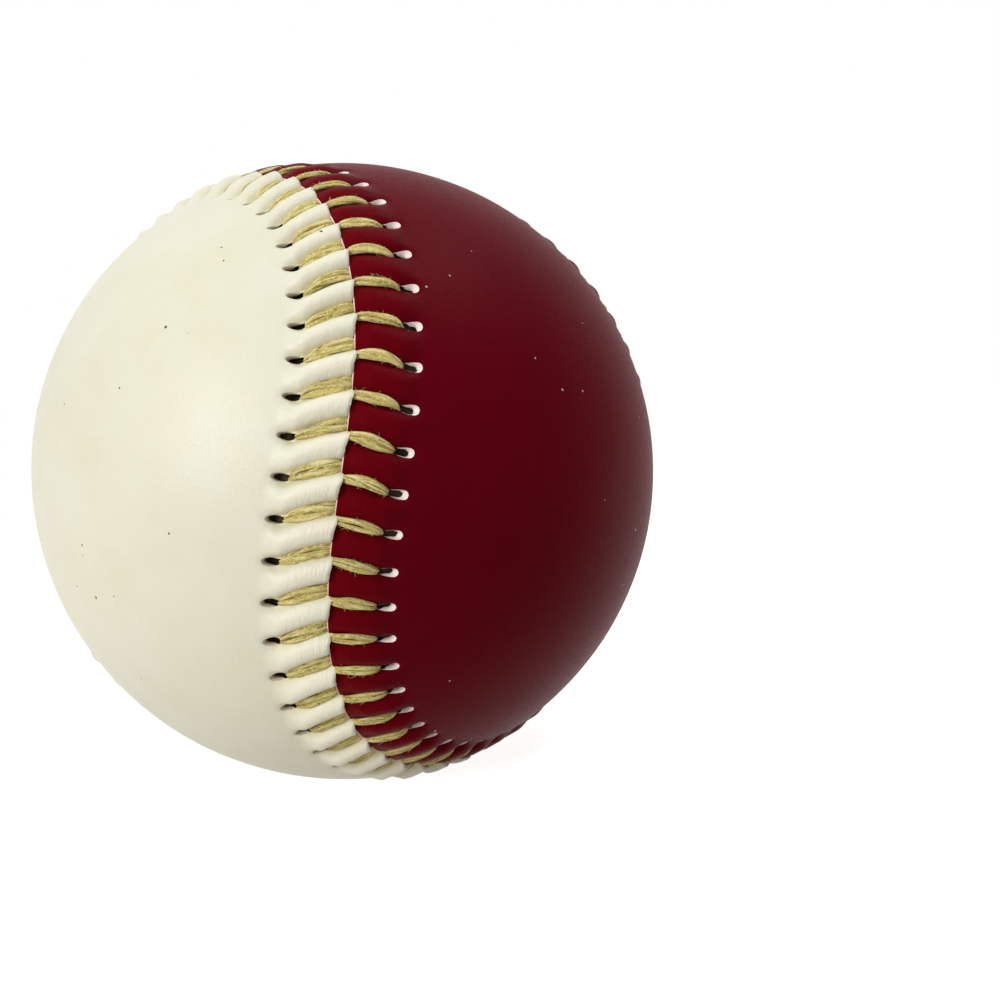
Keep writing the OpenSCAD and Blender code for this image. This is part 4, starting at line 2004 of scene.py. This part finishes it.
def white_panel(seam: SeamLine) -> CoverPanel:
    """Lays out the white panel, whose lips stand high over the edge of the red one.

    Args:
        seam: The seam line.

    Returns:
        The panel.
    """
    return CoverPanel(
        side=PanelSide.WHITE,
        node="white_panel",
        slot="white_leather",
        seam=seam,
        leather=PanelLeather(
            name="white_cover_leather",
            colour=(0.85, 0.83, 0.68, 1.0),
            deep=(0.76, 0.71, 0.48, 1.0),
            lip=(0.92, 0.89, 0.72, 1.0),
            speck=(0.02, 0.018, 0.014, 1.0),
            speck_share=0.45,
            shine=WHITE,
            gloss=0.4,
            roughness=0.42,
        ),
        raw=RawEdge(
            name="raw_white_edge",
            colour=(0.97, 0.88, 0.80, 1.0),
            deep=(0.80, 0.66, 0.56, 1.0),
            punched=(0.60, 0.53, 0.39, 1.0),
            # Painted shade in the holes and at the foot of the cut edge.
            shade_colour=(0.026, 0.017, 0.009, 1.0),
            shade_depths=(0.33, 0.75),
        ),
        lean_share=0.48,
        lip_rise=0.70,
        groove_depth=0.46,
        groove_half_widths=(0.50, 0.50),
        flank_powers=(2.8, 2.0),
        edge_radius=0.16,
        edge_steps=(-0.30, 0.08),
        notch=0.30,
        raggedness=0.011,
        edge_profile=((0.12, 0.03, 0.09), (0.5, 0.25, 0.14), (0.85, 0.40, -0.1)),
        seam_level=0.92,
        seed=11,
        hole=PunchedHole(
            taper=0.52,
            far_taper=0.3,
            far_slope=0.10,
            steps=((0.07, 0.03, 0.06), (0.25, 0.07, 0.13), (0.62, 0.10, 0.19)),
        ),
    )


def red_panel(seam: SeamLine) -> CoverPanel:
    """Lays out the dark red panel, whose lips die away towards its straight edge.

    Args:
        seam: The seam line.

    Returns:
        The panel.
    """
    return CoverPanel(
        side=PanelSide.RED,
        node="red_panel",
        slot="red_leather",
        seam=seam,
        leather=PanelLeather(
            name="red_cover_leather",
            colour=(0.118, 0.0011, 0.0062, 1.0),
            deep=(0.094, 0.0008, 0.005, 1.0),
            lip=(0.135, 0.0010, 0.0048, 1.0),
            speck=(0.60, 0.40, 0.38, 1.0),
            speck_share=0.5,
            shine=(0.6, 0.3, 0.3, 1.0),
            gloss=0.033,
            roughness=0.42,
        ),
        raw=RawEdge(
            name="raw_red_edge",
            colour=(0.93, 0.66, 0.58, 1.0),
            deep=(0.88, 0.66, 0.61, 1.0),
            punched=(0.98, 0.90, 0.87, 1.0),
            # Painted shade in the holes and at the foot of the cut edge.
            shade_colour=(0.026, 0.013, 0.008, 1.0),
            shade_depths=(0.65, 1.0),
        ),
        lean_share=0.19,
        lip_rise=0.48,
        groove_depth=0.22,
        groove_half_widths=(0.35, 0.35),
        flank_powers=(2.2, 2.2),
        edge_radius=0.12,
        edge_steps=(0.0, 0.0),
        notch=0.04,
        raggedness=0.002,
        edge_profile=((0.10, 0.03, 0.11), (0.5, 0.2, 0.13), (0.85, 0.3, 0.05)),
        seam_level=0.0,
        seed=23,
    )


def thread_runs(seam: SeamLine) -> list[SeamThread]:
    """Lays out the two runs of the thread.

    Args:
        seam: The seam line.

    Returns:
        The run that starts on the white panel and the one that starts on the red.
    """
    finish = WaxedThread(
        name="khaki_waxed_thread",
        colour=(0.70, 0.565, 0.15, 1.0),
        deep=(0.24, 0.19, 0.03, 1.0),
        pale=(0.98, 0.88, 0.44, 1.0),
    )
    white_half = HalfStitch(
        side=PanelSide.WHITE,
        lean_share=0.48,
        bed=-0.50,
        arch=0.06,
        bulge=0.0,
        widths=(1.50, 1.60, 0.60),
        widest=2.6,
    )
    red_half = HalfStitch(
        side=PanelSide.RED,
        lean_share=0.19,
        bed=-0.29,
        arch=0.10,
        bulge=0.03,
        widths=(0.85, 1.32, 0.76),
        widest=2.2,
        post_reach=4.46,
    )
    return [
        SeamThread("seam_thread_a", PanelSide.WHITE, seam, white_half, red_half, finish, seed=31),
        SeamThread("seam_thread_b", PanelSide.RED, seam, white_half, red_half, finish, seed=47),
    ]


def main() -> None:
    """Builds the studio and the ball from its core to its stitches, and reports each."""
    logging.basicConfig(level=logging.INFO, format="%(name)s: %(message)s")
    Studio().build()
    LOG.info("built the studio")
    for solid in WoundCore().dress():
        LOG.info("dressed %s", solid.name)
    seam = SeamLine()
    for part in (white_panel(seam), red_panel(seam), *thread_runs(seam)):
        piece = part.build()
        LOG.info("built %s with %d faces", piece.name, len(piece.data.polygons))


if __name__ == "__main__":
    main()
